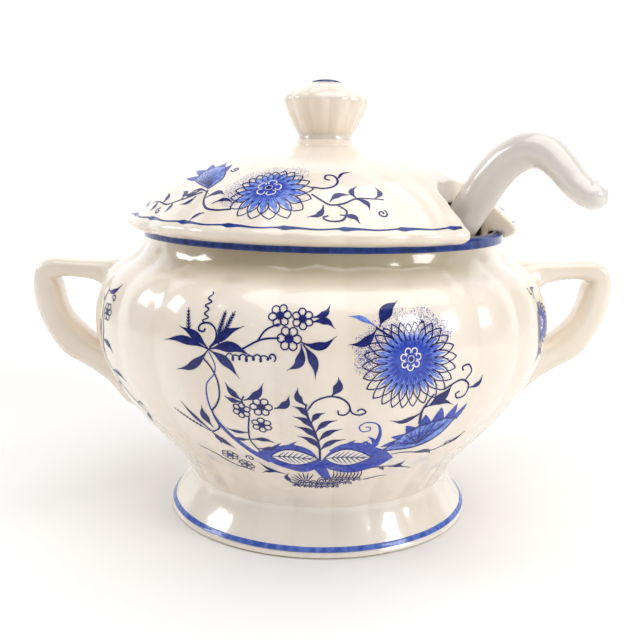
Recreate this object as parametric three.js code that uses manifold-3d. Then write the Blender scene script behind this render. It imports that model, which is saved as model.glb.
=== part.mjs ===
// A lidded earthenware soup tureen with its ladle, in millimetres, +Z up.
// The origin is on the tureen's axis at the table; +X runs from handle to handle and -Y is the front.
// Angles round the axis are in degrees, counted from the front (-Y) towards +X.
import * as THREE from "three";
import { mergeVertices } from "three/addons/utils/BufferGeometryUtils.js";
import Module from "manifold-3d";

// ---------------------------------------------------------------- driving dimensions
const GAP = 0.3; // between pieces that the kiln joined, and under the seated lid
const WALL = 5; // thickness of the cast wall

const LOBES = 24; // convex ribs round the body and the lid
const LOBE_CREASE = 6; // angle of the first crease between two ribs
const COLUMNS = 3 * LOBES; // facets round the ribbed pieces

const NECK_Z = 23; // where the pedestal foot meets the bowl
const NECK_R = 74.7;
const FOOT_R = 86.2;
const FOOT_RING = 6.5; // width of the flat ring that stands on the table

const BELLY_R = 125.8;
const BELLY_Z = 110;
const SHOULDER_R = 106;
const SHOULDER_Z = 145.5;
const RIM_R = 99.6;
const RIM_Z = 162.2;
const FLOOR_Z = 28.8; // inside floor of the bowl

const LID_R = 108.1; // out to the scalloped edge
const LID_EDGE_Z = 163.6;
const LID_SKIRT_Z = 159.6; // lowest part of the overhanging edge
const LID_CROWN_Z = 209.5; // flat on which the knob sits
const FLANGE_R = 93.2; // locating ring that drops inside the rim
const FLANGE_DROP = 7;

const NOTCH_FROM = 40.5; // the ladle notch, open at the lid's edge
const NOTCH_TO = 68.5;
const NOTCH_R = 79; // its inner end

const FLUTES = 12; // ridges round the knob
const FLUTE_RIDGE = -9; // angle of one of them
const KNOB_R = 23.5;
const KNOB_Z = 227; // height of the knob's widest ring
const KNOB_TOP_Z = 241.7;

const HANDLE_TOP_Z = 145; // right handle; the left one was luted on a little lower
const HANDLE_REACH = 164; // half of the overall length
const LEFT_DROP = 4;
const HANDLE_DEPTH = 22; // width of the handle's strap, front to back
const HANDLE_ROUND = 4.5; // rounding of the strap's edges

const LADLE_ANGLE = 54.5; // upright plane that holds the ladle, through the middle of the notch
const CUP_R = 41;
const CUP_DEPTH = 31;
const CUP_OUT = -24; // the cup's centre, measured outwards in the ladle's plane
const CUP_BASE_Z = FLOOR_Z + 0.7;
const CUP_WALL = 4;

const radians = THREE.MathUtils.degToRad;

// ---------------------------------------------------------------- solids
const wasm = await Module();
wasm.setup();

// A closed geometry as a manifold-3d solid.
function solidOf(geometry) {
  const bare = geometry.clone();
  bare.deleteAttribute("normal");
  bare.deleteAttribute("uv");
  const merged = mergeVertices(bare, 1e-3);
  return new wasm.Manifold(
    new wasm.Mesh({
      numProp: 3,
      vertProperties: merged.attributes.position.array,
      triVerts: new Uint32Array(merged.index.array),
    }),
  );
}

// A manifold-3d solid as a geometry for a mesh.
function geometryOf(solid) {
  const mesh = solid.getMesh();
  const geometry = new THREE.BufferGeometry();
  const points = new Float32Array(mesh.vertProperties);
  geometry.setAttribute("position", new THREE.BufferAttribute(points, 3));
  geometry.setIndex(new THREE.BufferAttribute(new Uint32Array(mesh.triVerts), 1));
  geometry.computeVertexNormals();
  return geometry;
}

// ---------------------------------------------------------------- ribbed, turned forms
// Turns a profile of rings, each [radius, height, rib depth], about +Z. Each lobe swells outwards
// between two sharp creases.
function turned(rings, { columns = COLUMNS, lobes = LOBES, crease = LOBE_CREASE } = {}) {
  const profile = rings.map(([r, z]) => new THREE.Vector2(r, z));
  const geometry = new THREE.LatheGeometry(profile, columns, radians(crease));
  const position = geometry.attributes.position;
  for (let i = 0; i < position.count; i++) {
    const [radius, , rib = 0] = rings[i % rings.length];
    const column = Math.floor(i / rings.length) % columns;
    const across = ((column * lobes) / columns) % 1;
    const ribbed = radius + rib * (Math.sin(Math.PI * across) - 0.6);
    const scale = radius > 0 ? ribbed / radius : 1;
    position.setX(i, position.getX(i) * scale);
    position.setZ(i, position.getZ(i) * scale);
  }
  geometry.rotateX(Math.PI / 2);
  return geometry;
}

// ---------------------------------------------------------------- bowl and foot
// Outside of the bowl from the neck to the rim, with the ribs fading at both ends. `grow` moves it out.
function bowlOutside(grow = 0) {
  const rings = [
    [NECK_R, NECK_Z, 0.9],
    [80.6, 34.5, 1.2],
    [92, 48, 1.3],
    [106.5, 64.5, 1.4],
    [118.6, 83, 1.5],
    [124.2, 98, 1.6],
    [BELLY_R, BELLY_Z, 1.7],
    [124.8, 121, 1.9],
    [121, 132.5, 2.2],
    [115, 140, 2.4],
    [SHOULDER_R, SHOULDER_Z, 2.2],
    [101.4, 150.2, 1.2],
    [100, 154.5, 0.3],
    [RIM_R, 157.5, 0],
  ];
  return rings.map(([r, z, rib]) => [r + grow, z, rib]);
}

function bowl() {
  const rim = [
    [RIM_R, RIM_Z - 1.4],
    [RIM_R - 1.2, RIM_Z],
    [RIM_R - 4, RIM_Z],
    [RIM_R - WALL - 0.2, RIM_Z - 1.4],
  ];
  const inside = [
    [RIM_R - WALL - 0.2, 153],
    [96.6, 149],
    [SHOULDER_R - 2, SHOULDER_Z - 2],
    [113.4, 136.5],
    [118.6, 127],
    [BELLY_R - WALL, BELLY_Z],
    [117.8, 96],
    [110.6, 80],
    [97, 61],
    [84, 45],
    [75, 34],
    [66, FLOOR_Z + 0.8],
    [0, FLOOR_Z],
  ];
  return turned([[0, NECK_Z + GAP], ...bowlOutside(), ...rim, ...inside]);
}

// The pedestal was cast apart and luted on: a flaring ring, open underneath.
function foot() {
  const outside = [
    [FOOT_R, 0, 0],
    [FOOT_R - 0.6, 2.9, 0],
    [82.9, 6.9, 0.3],
    [79.3, 12.2, 0.5],
    [76, 17.6, 0.7],
    [NECK_R, NECK_Z - 0.3, 0.9],
  ];
  const inside = [
    [NECK_R - 7, NECK_Z - 0.3],
    [NECK_R - 5, 14],
    [FOOT_R - FOOT_RING - 2, 4],
    [FOOT_R - FOOT_RING, 0],
  ];
  return turned([...outside, ...inside, outside[0]]);
}

// ---------------------------------------------------------------- handles
// A flat-topped ear of rounded strap, cut to the bowl's wall. side is 1 for +X and -1 for -X.
function handle(side) {
  const drop = side < 0 ? LEFT_DROP : 0;
  const top = HANDLE_TOP_Z;
  const reach = HANDLE_REACH;
  const inset = HANDLE_ROUND; // the bevel swells the outline back to size
  const ear = new THREE.Shape();
  ear.moveTo(100, top - inset - 1);
  ear.lineTo(135, top - inset - 1);
  ear.lineTo(reach - inset - 7, top - inset);
  ear.quadraticCurveTo(reach - inset, top - inset, reach - inset, top - inset - 8);
  ear.splineThru([
    new THREE.Vector2(reach - inset + 0.2, top - inset - 16),
    new THREE.Vector2(reach - inset - 1.6, 117),
    new THREE.Vector2(reach - inset - 8, 102.5),
    new THREE.Vector2(145, 93.5),
    new THREE.Vector2(131, 85.5),
    new THREE.Vector2(119.5, 76.5),
    new THREE.Vector2(110, 65),
    new THREE.Vector2(100, 60),
  ]);
  ear.lineTo(100, 78);
  ear.splineThru([
    new THREE.Vector2(112, 82),
    new THREE.Vector2(123, 89),
    new THREE.Vector2(134.5, 96.5),
    new THREE.Vector2(143.5, 104.5),
    new THREE.Vector2(150.3, 115),
    new THREE.Vector2(153, 127),
    new THREE.Vector2(152.4, 135.5),
    new THREE.Vector2(148, 138.2),
    new THREE.Vector2(136, 138),
    new THREE.Vector2(125, 135.5),
    new THREE.Vector2(112, 127),
    new THREE.Vector2(100, 124),
  ]);
  ear.closePath();
  const strap = new THREE.ExtrudeGeometry(ear, {
    depth: HANDLE_DEPTH - 2 * HANDLE_ROUND,
    bevelThickness: HANDLE_ROUND,
    bevelSize: HANDLE_ROUND,
    bevelSegments: 2,
    curveSegments: 2,
  });
  strap.translate(0, 0, HANDLE_ROUND - HANDLE_DEPTH / 2);
  strap.rotateX(Math.PI / 2);
  if (side < 0) strap.rotateZ(Math.PI);
  strap.translate(0, 0, -drop);
  const keepOut = turned([[0, NECK_Z], ...bowlOutside(GAP), [0, 157.5]]);
  return geometryOf(solidOf(strap).subtract(solidOf(keepOut)));
}

// ---------------------------------------------------------------- lid
// Sector of wedge shape with a rounded inner end, standing through the lid where the ladle comes out.
function notchCutter() {
  const at = (radius, angle) =>
    new THREE.Vector2(radius * Math.sin(radians(angle)), -radius * Math.cos(radians(angle)));
  const beyond = LID_R + 20;
  const cornerR = NOTCH_R + 11;
  const turnIn = 7; // degrees over which each inner corner is rounded
  const plan = new THREE.Shape();
  plan.moveTo(...at(beyond, NOTCH_FROM));
  plan.lineTo(...at(beyond, NOTCH_TO));
  plan.lineTo(...at(cornerR, NOTCH_TO));
  plan.quadraticCurveTo(...at(NOTCH_R, NOTCH_TO - 1), ...at(NOTCH_R, NOTCH_TO - turnIn));
  plan.lineTo(...at(NOTCH_R, NOTCH_FROM + turnIn));
  plan.quadraticCurveTo(...at(NOTCH_R, NOTCH_FROM + 1), ...at(cornerR, NOTCH_FROM));
  plan.closePath();
  const cutter = new THREE.ExtrudeGeometry(plan, { depth: 80, bevelEnabled: false, curveSegments: 5 });
  cutter.translate(0, 0, 140);
  return cutter;
}

function lid() {
  const outside = [
    [101, LID_SKIRT_Z, 0.8],
    [106.6, LID_EDGE_Z - 1.8, 1.6],
    [LID_R, LID_EDGE_Z + 0.6, 1.8],
    [106.4, 166.6, 1.7],
    [103, 170, 1.6],
    [96, 176.2, 1.4],
    [88, 182.8, 1.2],
    [80, 188, 1.1],
    [70, 193.6, 1],
    [58, 198.3, 0.8],
    [46, 201.6, 0.6],
    [34, 204.4, 0.4],
    [24, 206.2, 0.2],
    [17, 207.4, 0],
    [15, LID_CROWN_Z, 0],
  ];
  const seatZ = RIM_Z + GAP;
  const inside = [
    [32, LID_CROWN_Z - 10],
    [56, 193.4],
    [76, 184],
    [86, 175.4],
    [FLANGE_R - 4, 167],
    [FLANGE_R - 4, RIM_Z - FLANGE_DROP],
    [FLANGE_R - 1, RIM_Z - FLANGE_DROP],
    [FLANGE_R, RIM_Z - FLANGE_DROP + 1.5],
    [FLANGE_R, seatZ],
    [RIM_R + 1, seatZ],
  ];
  const shell = turned([[0, LID_CROWN_Z - 8], ...inside, ...outside, [0, LID_CROWN_Z]]);
  return geometryOf(solidOf(shell).subtract(solidOf(notchCutter())));
}

// Fluted mushroom knob with a small button on top.
function knob() {
  const base = LID_CROWN_Z + GAP;
  const rings = [
    [0, base],
    [14.8, base, 0],
    [14.2, base + 1.6, 0.4],
    [16.2, 213.6, 0.9],
    [19, 218, 1.3],
    [22.2, 222.6, 1.7],
    [KNOB_R, KNOB_Z, 1.9],
    [22.4, 230.2, 1.7],
    [19.2, 233, 1.2],
    [13, 236, 0.7],
    [7, 238.2, 0],
    [6.2, 240.6, 0],
    [0, KNOB_TOP_Z],
  ];
  return turned(rings, { columns: 3 * FLUTES, lobes: FLUTES, crease: FLUTE_RIDGE + 180 / FLUTES });
}

// ---------------------------------------------------------------- ladle
const outwards = new THREE.Vector3(Math.sin(radians(LADLE_ANGLE)), -Math.cos(radians(LADLE_ANGLE)), 0);
const up = new THREE.Vector3(0, 0, 1);

// The cup: a round bowl with a rolled rim. `grow` swells its outside.
function cup(grow = 0, solid = false) {
  const rimZ = CUP_BASE_Z + CUP_DEPTH;
  const outside = [
    [0, CUP_BASE_Z - grow],
    [13, CUP_BASE_Z - grow],
    [23, CUP_BASE_Z + 2.4 - grow],
    [32, CUP_BASE_Z + 8 - grow / 2],
    [38, CUP_BASE_Z + 16.5],
    [40.4, CUP_BASE_Z + 25],
    [CUP_R, rimZ - 1.2],
    [CUP_R - 1.4, rimZ],
  ].map(([r, z]) => [r > 0 ? r + grow : 0, z]);
  const inside = [
    [CUP_R - CUP_WALL + 0.6, rimZ],
    [CUP_R - CUP_WALL - 0.4, rimZ - 2],
    [36.2, CUP_BASE_Z + 23],
    [33.4, CUP_BASE_Z + 16],
    [27.6, CUP_BASE_Z + 9.4],
    [17, CUP_BASE_Z + 5],
    [0, CUP_BASE_Z + CUP_WALL],
  ];
  const geometry = turned([...outside, ...(solid ? [[0, rimZ]] : inside)], { columns: 40 });
  geometry.translate(outwards.x * CUP_OUT, outwards.y * CUP_OUT, 0);
  return geometry;
}

// The handle: a straight arm that leans out through the notch, hooks over and turns up at its tip.
// It is turned as a straight rod and then bent along the line; its section is a flattened round.
function ladleHandle() {
  const line = new THREE.CatmullRomCurve3(
    [
      [10, 46],
      [26.5, 73],
      [54.5, 118],
      [82.5, 162.5],
      [93.5, 179.5],
      [101.5, 191.8],
      [110, 200.4],
      [120, 205],
      [129.5, 203.8],
      [137, 197.9],
      [146, 188.9],
      [153, 185.2],
      [159.5, 186.6],
    ].map(([out, z]) => outwards.clone().multiplyScalar(out).addScaledVector(up, z)),
    false,
    "centripetal",
  );
  // [share of the length, half thickness, half width]
  const girth = [
    [0, 0, 0],
    [0.004, 5.5, 6.5],
    [0.03, 6.6, 8],
    [0.2, 7.8, 9],
    [0.45, 9, 10],
    [0.7, 9.4, 10.6],
    [0.8, 8.8, 10.6],
    [0.88, 7.6, 10.4],
    [0.94, 6.9, 10.4],
    [0.975, 6.4, 9.4],
    [0.992, 4.2, 6.2],
    [1, 0, 0],
  ];
  const rings = girth.flatMap(([share, thick, wide], i) => {
    const next = girth[i + 1];
    const ring = [wide, share, thick];
    if (!next || share < 0.03 || share > 0.95) return [ring];
    const inner = Math.max(1, Math.round((next[0] - share) / 0.035));
    return Array.from({ length: inner }, (_, k) => {
      const f = k / inner;
      return [
        THREE.MathUtils.lerp(wide, next[2], f),
        THREE.MathUtils.lerp(share, next[0], f),
        THREE.MathUtils.lerp(thick, next[1], f),
      ];
    });
  });
  const rod = new THREE.LatheGeometry(rings.map(([wide, share]) => new THREE.Vector2(wide, share)), 16);
  const position = rod.attributes.position;
  const sideways = new THREE.Vector3().crossVectors(up, outwards);
  for (let i = 0; i < position.count; i++) {
    const [wide, share, thick] = rings[i % rings.length];
    const across = wide > 0 ? position.getX(i) / wide : 0;
    const over = wide > 0 ? position.getZ(i) / wide : 0;
    const along = line.getTangentAt(share);
    const normal = new THREE.Vector3().crossVectors(sideways, along);
    const point = line.getPointAt(share);
    point.addScaledVector(sideways, across * wide).addScaledVector(normal, over * thick);
    position.setXYZ(i, point.x, point.y, point.z);
  }
  return geometryOf(solidOf(rod).subtract(solidOf(cup(GAP, true))));
}

// ---------------------------------------------------------------- assembly
const glaze = (color) => new THREE.MeshStandardMaterial({ color, roughness: 0.12, metalness: 0 });
const IVORY = 0xf3ead9;
const WHITE = 0xf1efec;

const tureen = new THREE.Group();
const pieces = {
  bowl: [bowl(), IVORY],
  foot: [foot(), IVORY],
  handle_left: [handle(-1), IVORY],
  handle_right: [handle(1), IVORY],
  lid: [lid(), IVORY],
  lid_knob: [knob(), IVORY],
  ladle_bowl: [cup(), WHITE],
  ladle_handle: [ladleHandle(), WHITE],
};
for (const [name, [geometry, color]] of Object.entries(pieces)) {
  const mesh = new THREE.Mesh(geometry, glaze(color));
  mesh.name = name;
  tureen.add(mesh);
}

export default tureen;
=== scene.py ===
# %% [markdown]
# # A lidded soup tureen and its ladle
# The tureen is cast earthenware: a ribbed bowl on a flaring foot, two ear-shaped
# handles, a scalloped lid with a fluted knob, and a plain white ladle that leans out
# through a notch in the lid. A blue print of flowers lies under its clear glaze.
# The imported model gives the frame that everything here is built round, so it is
# loaded first.

# %% Load the frame
import math

import bmesh
import bpy
import numpy as np
from mathutils import Matrix, Vector
from mathutils.bvhtree import BVHTree


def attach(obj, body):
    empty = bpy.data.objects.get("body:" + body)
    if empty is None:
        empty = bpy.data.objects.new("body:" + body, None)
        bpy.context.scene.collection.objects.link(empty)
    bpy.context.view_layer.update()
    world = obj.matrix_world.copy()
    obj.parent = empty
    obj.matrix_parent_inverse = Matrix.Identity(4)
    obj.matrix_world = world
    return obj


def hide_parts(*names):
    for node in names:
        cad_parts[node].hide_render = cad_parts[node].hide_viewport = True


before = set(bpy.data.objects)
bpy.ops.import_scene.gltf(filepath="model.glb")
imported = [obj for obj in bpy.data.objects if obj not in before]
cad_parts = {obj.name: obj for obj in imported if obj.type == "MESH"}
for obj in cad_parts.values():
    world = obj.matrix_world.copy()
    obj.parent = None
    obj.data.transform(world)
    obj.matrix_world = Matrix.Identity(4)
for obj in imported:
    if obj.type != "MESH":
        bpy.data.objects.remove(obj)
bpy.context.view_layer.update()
MM = 0.001

# %% [markdown]
# ## The camera
# A product picture of a tureen is taken from just above its lid, close enough for a
# little perspective. The camera stands in front (-Y) half a metre away, tips down
# about eleven degrees, and leans by one degree, as a hand-held camera does.

# %% Camera
CAMERA_AT = Vector((-0.0008, -0.4947, 0.2004))
TIP_DOWN = 0.187  # radians below the horizon
LEAN = 0.020  # radians
LENS, SENSOR = 48.94, 36  # millimetres

camera_data = bpy.data.cameras.new("camera")
camera_data.lens, camera_data.sensor_width = LENS, SENSOR
camera = bpy.data.objects.new("camera", camera_data)
turn = Matrix.Rotation(math.pi / 2 - TIP_DOWN, 4, "X") @ Matrix.Rotation(LEAN, 4, "Z")
camera.matrix_world = Matrix.Translation(CAMERA_AT) @ turn
bpy.context.scene.collection.objects.link(camera)
bpy.context.scene.camera = camera
print("camera at", tuple(round(v, 3) for v in CAMERA_AT))

# %% [markdown]
# ## Helpers for materials
# Colours are chosen as sRGB hex values, the way a paint chart gives them, and turned
# to linear light by one function. Another adds a shader or geometry node with its
# settings and links, so that each material and each node tree reads as a short list.
# The few kinds of node that come back again and again get a name of their own.


# %% Colour and node helpers
def srgb(code):
    """A hex colour such as "F2EADB" as linear RGBA."""
    parts = [int(code[i : i + 2], 16) / 255 for i in (0, 2, 4)]
    linear = [p / 12.92 if p <= 0.04045 else ((p + 0.055) / 1.055) ** 2.4 for p in parts]
    return (*linear, 1.0)


def add(tree, kind, links=None, **settings):
    """Adds a node. links gives each named input a value, or another node's output."""
    node = tree.nodes.new(kind)
    for name, value in settings.items():
        setattr(node, name, value)
    for name, value in (links or {}).items():
        if isinstance(value, bpy.types.NodeSocket):
            tree.links.new(value, node.inputs[name])
        else:
            node.inputs[name].default_value = value
    return node


def maths(tree, operation, *values):
    """The result of a maths node on values or other nodes' outputs."""
    return add(tree, "ShaderNodeMath", dict(enumerate(values)), operation=operation).outputs[0]


def noise(tree, place, scale, detail):
    """Noise with scale features to the metre."""
    settings = {"Vector": place, "Scale": scale, "Detail": detail}
    return add(tree, "ShaderNodeTexNoise", settings).outputs["Fac"]


def rising(tree, value, start, end, top=1.0):
    """A share that rises softly from 0 at start to top at end."""
    limits = {"Value": value, "From Min": start, "From Max": end, "To Max": top}
    return add(tree, "ShaderNodeMapRange", limits, interpolation_type="SMOOTHSTEP").outputs[0]


def between_tones(tree, share, *stops):
    """A colour ramp with stops of (position, hex colour)."""
    node = add(tree, "ShaderNodeValToRGB", {"Fac": share})
    for element, (place, code) in zip(node.color_ramp.elements, stops):
        element.position, element.color = place, srgb(code)
    return node.outputs["Color"]


def laid_over(tree, under, share, code):
    """A hex colour laid over another colour by a share from 0 to 1."""
    node = add(tree, "ShaderNodeMix", {"Factor": share}, data_type="RGBA")
    # Its number and colour sockets share names, so the colour ones are taken by place.
    tree.links.new(under, node.inputs[6])
    node.inputs[7].default_value = srgb(code)
    return node.outputs[2]


def new_material(name):
    """An empty node material: the material, its tree and the object's coordinates."""
    material = bpy.data.materials.new(name)
    material.use_nodes = True
    material.node_tree.nodes.clear()
    place = add(material.node_tree, "ShaderNodeTexCoord").outputs["Object"]
    return material, material.node_tree, place


def surfaced(material, settings):
    """Ends a material in a principled shader with these settings."""
    body = add(material.node_tree, "ShaderNodeBsdfPrincipled", settings)
    add(material.node_tree, "ShaderNodeOutputMaterial", {"Surface": body.outputs[0]})
    return material


print("helpers for materials ready")

# %% [markdown]
# ## The glaze
# The real finish is a clear lead-free glaze over cream earthenware. The eye sees a
# warm ivory with faint clouds where the glaze ran thicker, a warmer tint in the
# creases where it pooled, a few iron specks from the clay, and sharp reflections
# that waver a little, because a poured glaze is never quite flat. On the bowl, the
# neck below the rim is also darkened in front and behind: that is painted shade,
# where the lid's rim shades it.
# An image texture could carry this, but noise on the object's own coordinates has no
# seams and works at any size. The clouds are 40 mm across, the ripple 9 mm, and the
# specks under 1 mm, spaced about 25 mm apart.


# %% Glazed ceramic
CREASE_TURN = 6.0  # degrees from the front to the first crease between two ribs
POOLED_SHARE, CREASE_TIGHTNESS = 0.16, 60.0
NECK_HEIGHTS = (0.1392, 0.151)  # metres, where the painted shade under the rim begins and is full
NECK_SIDES = (0.04, 0.092)  # metres to the front or back, where it begins and is full
NECK_SHARE, SPECK_SHARE = 0.78, 0.45
IRON = "8A6A48"


def glazed_ceramic(name, pale, warm, pooled, lobes, specks=1.0, neck=None):
    """A glazed ceramic: clouds from pale to warm, pooled colour in the creases, specks.

    neck is the colour of the painted shade below the rim, which the lid's rim casts."""
    material, tree, place = new_material(name)
    axes = add(tree, "ShaderNodeSeparateXYZ", {"Vector": place}).outputs
    colour = between_tones(tree, noise(tree, place, 25.0, 3.0), (0.35, pale), (0.68, warm))
    if lobes:
        angle = maths(tree, "ARCTAN2", axes["X"], maths(tree, "MULTIPLY", axes["Y"], -1.0))
        first = -math.radians(CREASE_TURN) * lobes / 2
        wave = maths(tree, "COSINE", maths(tree, "MULTIPLY_ADD", angle, lobes / 2, first))
        crease = maths(tree, "POWER", wave, CREASE_TIGHTNESS)
        colour = laid_over(tree, colour, maths(tree, "MULTIPLY", crease, POOLED_SHARE), pooled)
    if neck:
        # Painted shade: the neck under the rim is darkened towards the neck colour, in front and
        # behind.
        painted_shade_height = rising(tree, axes["Z"], *NECK_HEIGHTS, NECK_SHARE)
        painted_shade_front_back = rising(tree, maths(tree, "ABSOLUTE", axes["Y"]), *NECK_SIDES)
        colour = laid_over(tree, colour, maths(tree, "MULTIPLY", painted_shade_height, painted_shade_front_back), neck)
    grit = add(tree, "ShaderNodeTexVoronoi", {"Vector": place, "Scale": 42.0})
    near = maths(tree, "LESS_THAN", grit.outputs["Distance"], 0.016)
    rare = maths(tree, "GREATER_THAN", noise(tree, place, 60.0, 0.0), 0.52)
    speck = maths(tree, "MULTIPLY", maths(tree, "MULTIPLY", near, rare), SPECK_SHARE * specks)
    ripple = noise(tree, place, 110.0, 1.0)
    bump = add(tree, "ShaderNodeBump", {"Strength": 0.12, "Distance": 0.0006, "Height": ripple})
    return surfaced(material, {
        "Base Color": laid_over(tree, colour, speck, IRON),
        "Roughness": 0.22,
        "IOR": 1.5,
        "Coat Weight": 0.85,
        "Coat Roughness": 0.05,
        "Coat IOR": 1.52,
        "Normal": bump.outputs["Normal"],
        "Coat Normal": bump.outputs["Normal"],
    })


IVORY = ("F6EBDD", "F0E2CF", "E4D0B4")
RIBS, FLUTES = 24, 12
ivory_glaze = glazed_ceramic("ivory_glaze_on_cream_earthenware", *IVORY, RIBS)
# The bowl's glaze carries painted shade in its neck, under the lid's rim.
bowl_glaze = glazed_ceramic("ivory_glaze_with_painted_neck_shade", *IVORY, RIBS, neck="A3946F")
knob_glaze = glazed_ceramic("ivory_glaze_on_fluted_knob", *IVORY[:2], "E0CBAC", FLUTES)
strap_glaze = glazed_ceramic("ivory_glaze_on_handles", "F5EADB", "EFE1CD", "E4D0B4", 0)
white_glaze = glazed_ceramic("white_glaze_on_ladle", "E3DCD3", "D8CFC4", "C8BCAC", 0, 0.5)
# Painted light: the foot's glaze is paler than the bowl's, standing in for the light that reaches
# the foot.
foot_glaze_painted_lighter = glazed_ceramic("ivory_glaze_painted_lighter_on_foot", "FBF2E6", "F6EBDB", "E9D8BE", RIBS)
reserve_glaze = glazed_ceramic("ivory_glaze_left_bare", "F6F0E6", "EFE8DC", "E6D6B8", 0, 0.0)
print("glazes made")

# %% [markdown]
# ## Cobalt under the glaze
# The blue is cobalt oxide: a transfer print for the flowers, and a brush for the
# bands. It lies under the same glaze, so it shares the gloss. Printed tissue leaves
# the colour slightly mottled, and a brush leaves streaks, so each blue gets noise of
# about 2 mm between two near tones. The unglazed foot ring shows the bare biscuit.


# %% Cobalt blues and bare clay
def cobalt(name, dark, light, grain=450.0, stretch=(1.0, 1.0, 1.0)):
    """Cobalt under glaze, mottled between two tones."""
    material, tree, place = new_material(name)
    drawn = add(tree, "ShaderNodeMapping", {"Vector": place, "Scale": stretch}).outputs[0]
    tint = between_tones(tree, noise(tree, drawn, grain, 2.0), (0.38, dark), (0.64, light))
    return surfaced(material, {"Base Color": tint, "Roughness": 0.1, "IOR": 1.45})


BRUSHED = (320.0, (1.0, 1.0, 0.25))  # grain to the metre, and how the brush draws it out
band_blue = cobalt("cobalt_brushed_band", "203470", "2D4796", *BRUSHED)
foot_blue = cobalt("cobalt_thin_brushed_band", "3F5DB4", "5F7DD0", *BRUSHED)
ink_blue = cobalt("cobalt_print_outline", "171F5C", "232D7C")
leaf_blue = cobalt("cobalt_print_solid", "2A3CA0", "3D55C0")
wash_blue = cobalt("cobalt_print_wash", "5774D2", "86A0E4")


def bare_clay():
    """Unglazed earthenware: dull, sandy, a little darker than the glazed body."""
    material, tree, place = new_material("bare_earthenware_biscuit")
    sand = noise(tree, place, 900.0, 4.0)
    grain = add(tree, "ShaderNodeBump", {"Strength": 0.4, "Distance": 0.0003, "Height": sand})
    tint = between_tones(tree, sand, (0.35, "C9B592"), (0.65, "DCCBAC"))
    return surfaced(
        material, {"Base Color": tint, "Roughness": 0.85, "Normal": grain.outputs[0]}
    )


biscuit = bare_clay()
print("blues and bare clay made")

# %% [markdown]
# ## A ribbed, turned form
# The bowl, foot, lid, knob and cup were all turned from a profile, and most are ribbed:
# their wall swells between evenly spaced creases. They could be lathed by hand and
# pushed about with a lattice, but the shape follows a rule, so a Geometry Nodes tree
# makes it. Its input is a profile line, whose points carry the rib depth there. A grid
# takes one row for each point of the profile and one column for each step round.


# %% Geometry Nodes tree for ribbed forms
def new_tree(name, inputs, output):
    """A tree with named inputs, each (name, kind, default), and its input sockets."""
    tree = bpy.data.node_groups.new(name, "GeometryNodeTree")
    for label, kind, value in inputs:
        socket = tree.interface.new_socket(
            label, in_out="INPUT", socket_type="NodeSocket" + kind
        )
        if value is not None:
            socket.default_value = value
    tree.interface.new_socket(output, in_out="OUTPUT", socket_type="NodeSocketGeometry")
    return tree, add(tree, "NodeGroupInput").outputs


def end_tree(tree, geometry, finish, output):
    """Ends a tree in real geometry that wears the finish."""
    real = add(tree, "GeometryNodeRealizeInstances", {"Geometry": geometry}).outputs[0]
    dressed = add(tree, "GeometryNodeSetMaterial", {"Geometry": real, "Material": finish})
    add(tree, "NodeGroupOutput", {output: dressed.outputs[0]})
    print("tree", tree.name, "has", len(tree.nodes), "nodes")
    return tree


def named(tree, name, kind):
    """A named attribute of the geometry."""
    return add(tree, "GeometryNodeInputNamedAttribute", {"Name": name}, data_type=kind).outputs[0]


def sampled(tree, geometry, value, index, kind):
    """A value taken from one point of a geometry."""
    wanted = {"Geometry": geometry, "Value": value, "Index": index}
    return add(tree, "GeometryNodeSampleIndex", wanted, data_type=kind).outputs[0]


MEAN_SWELL = 0.62  # the share of a rib's depth that lies inside the profile


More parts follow.
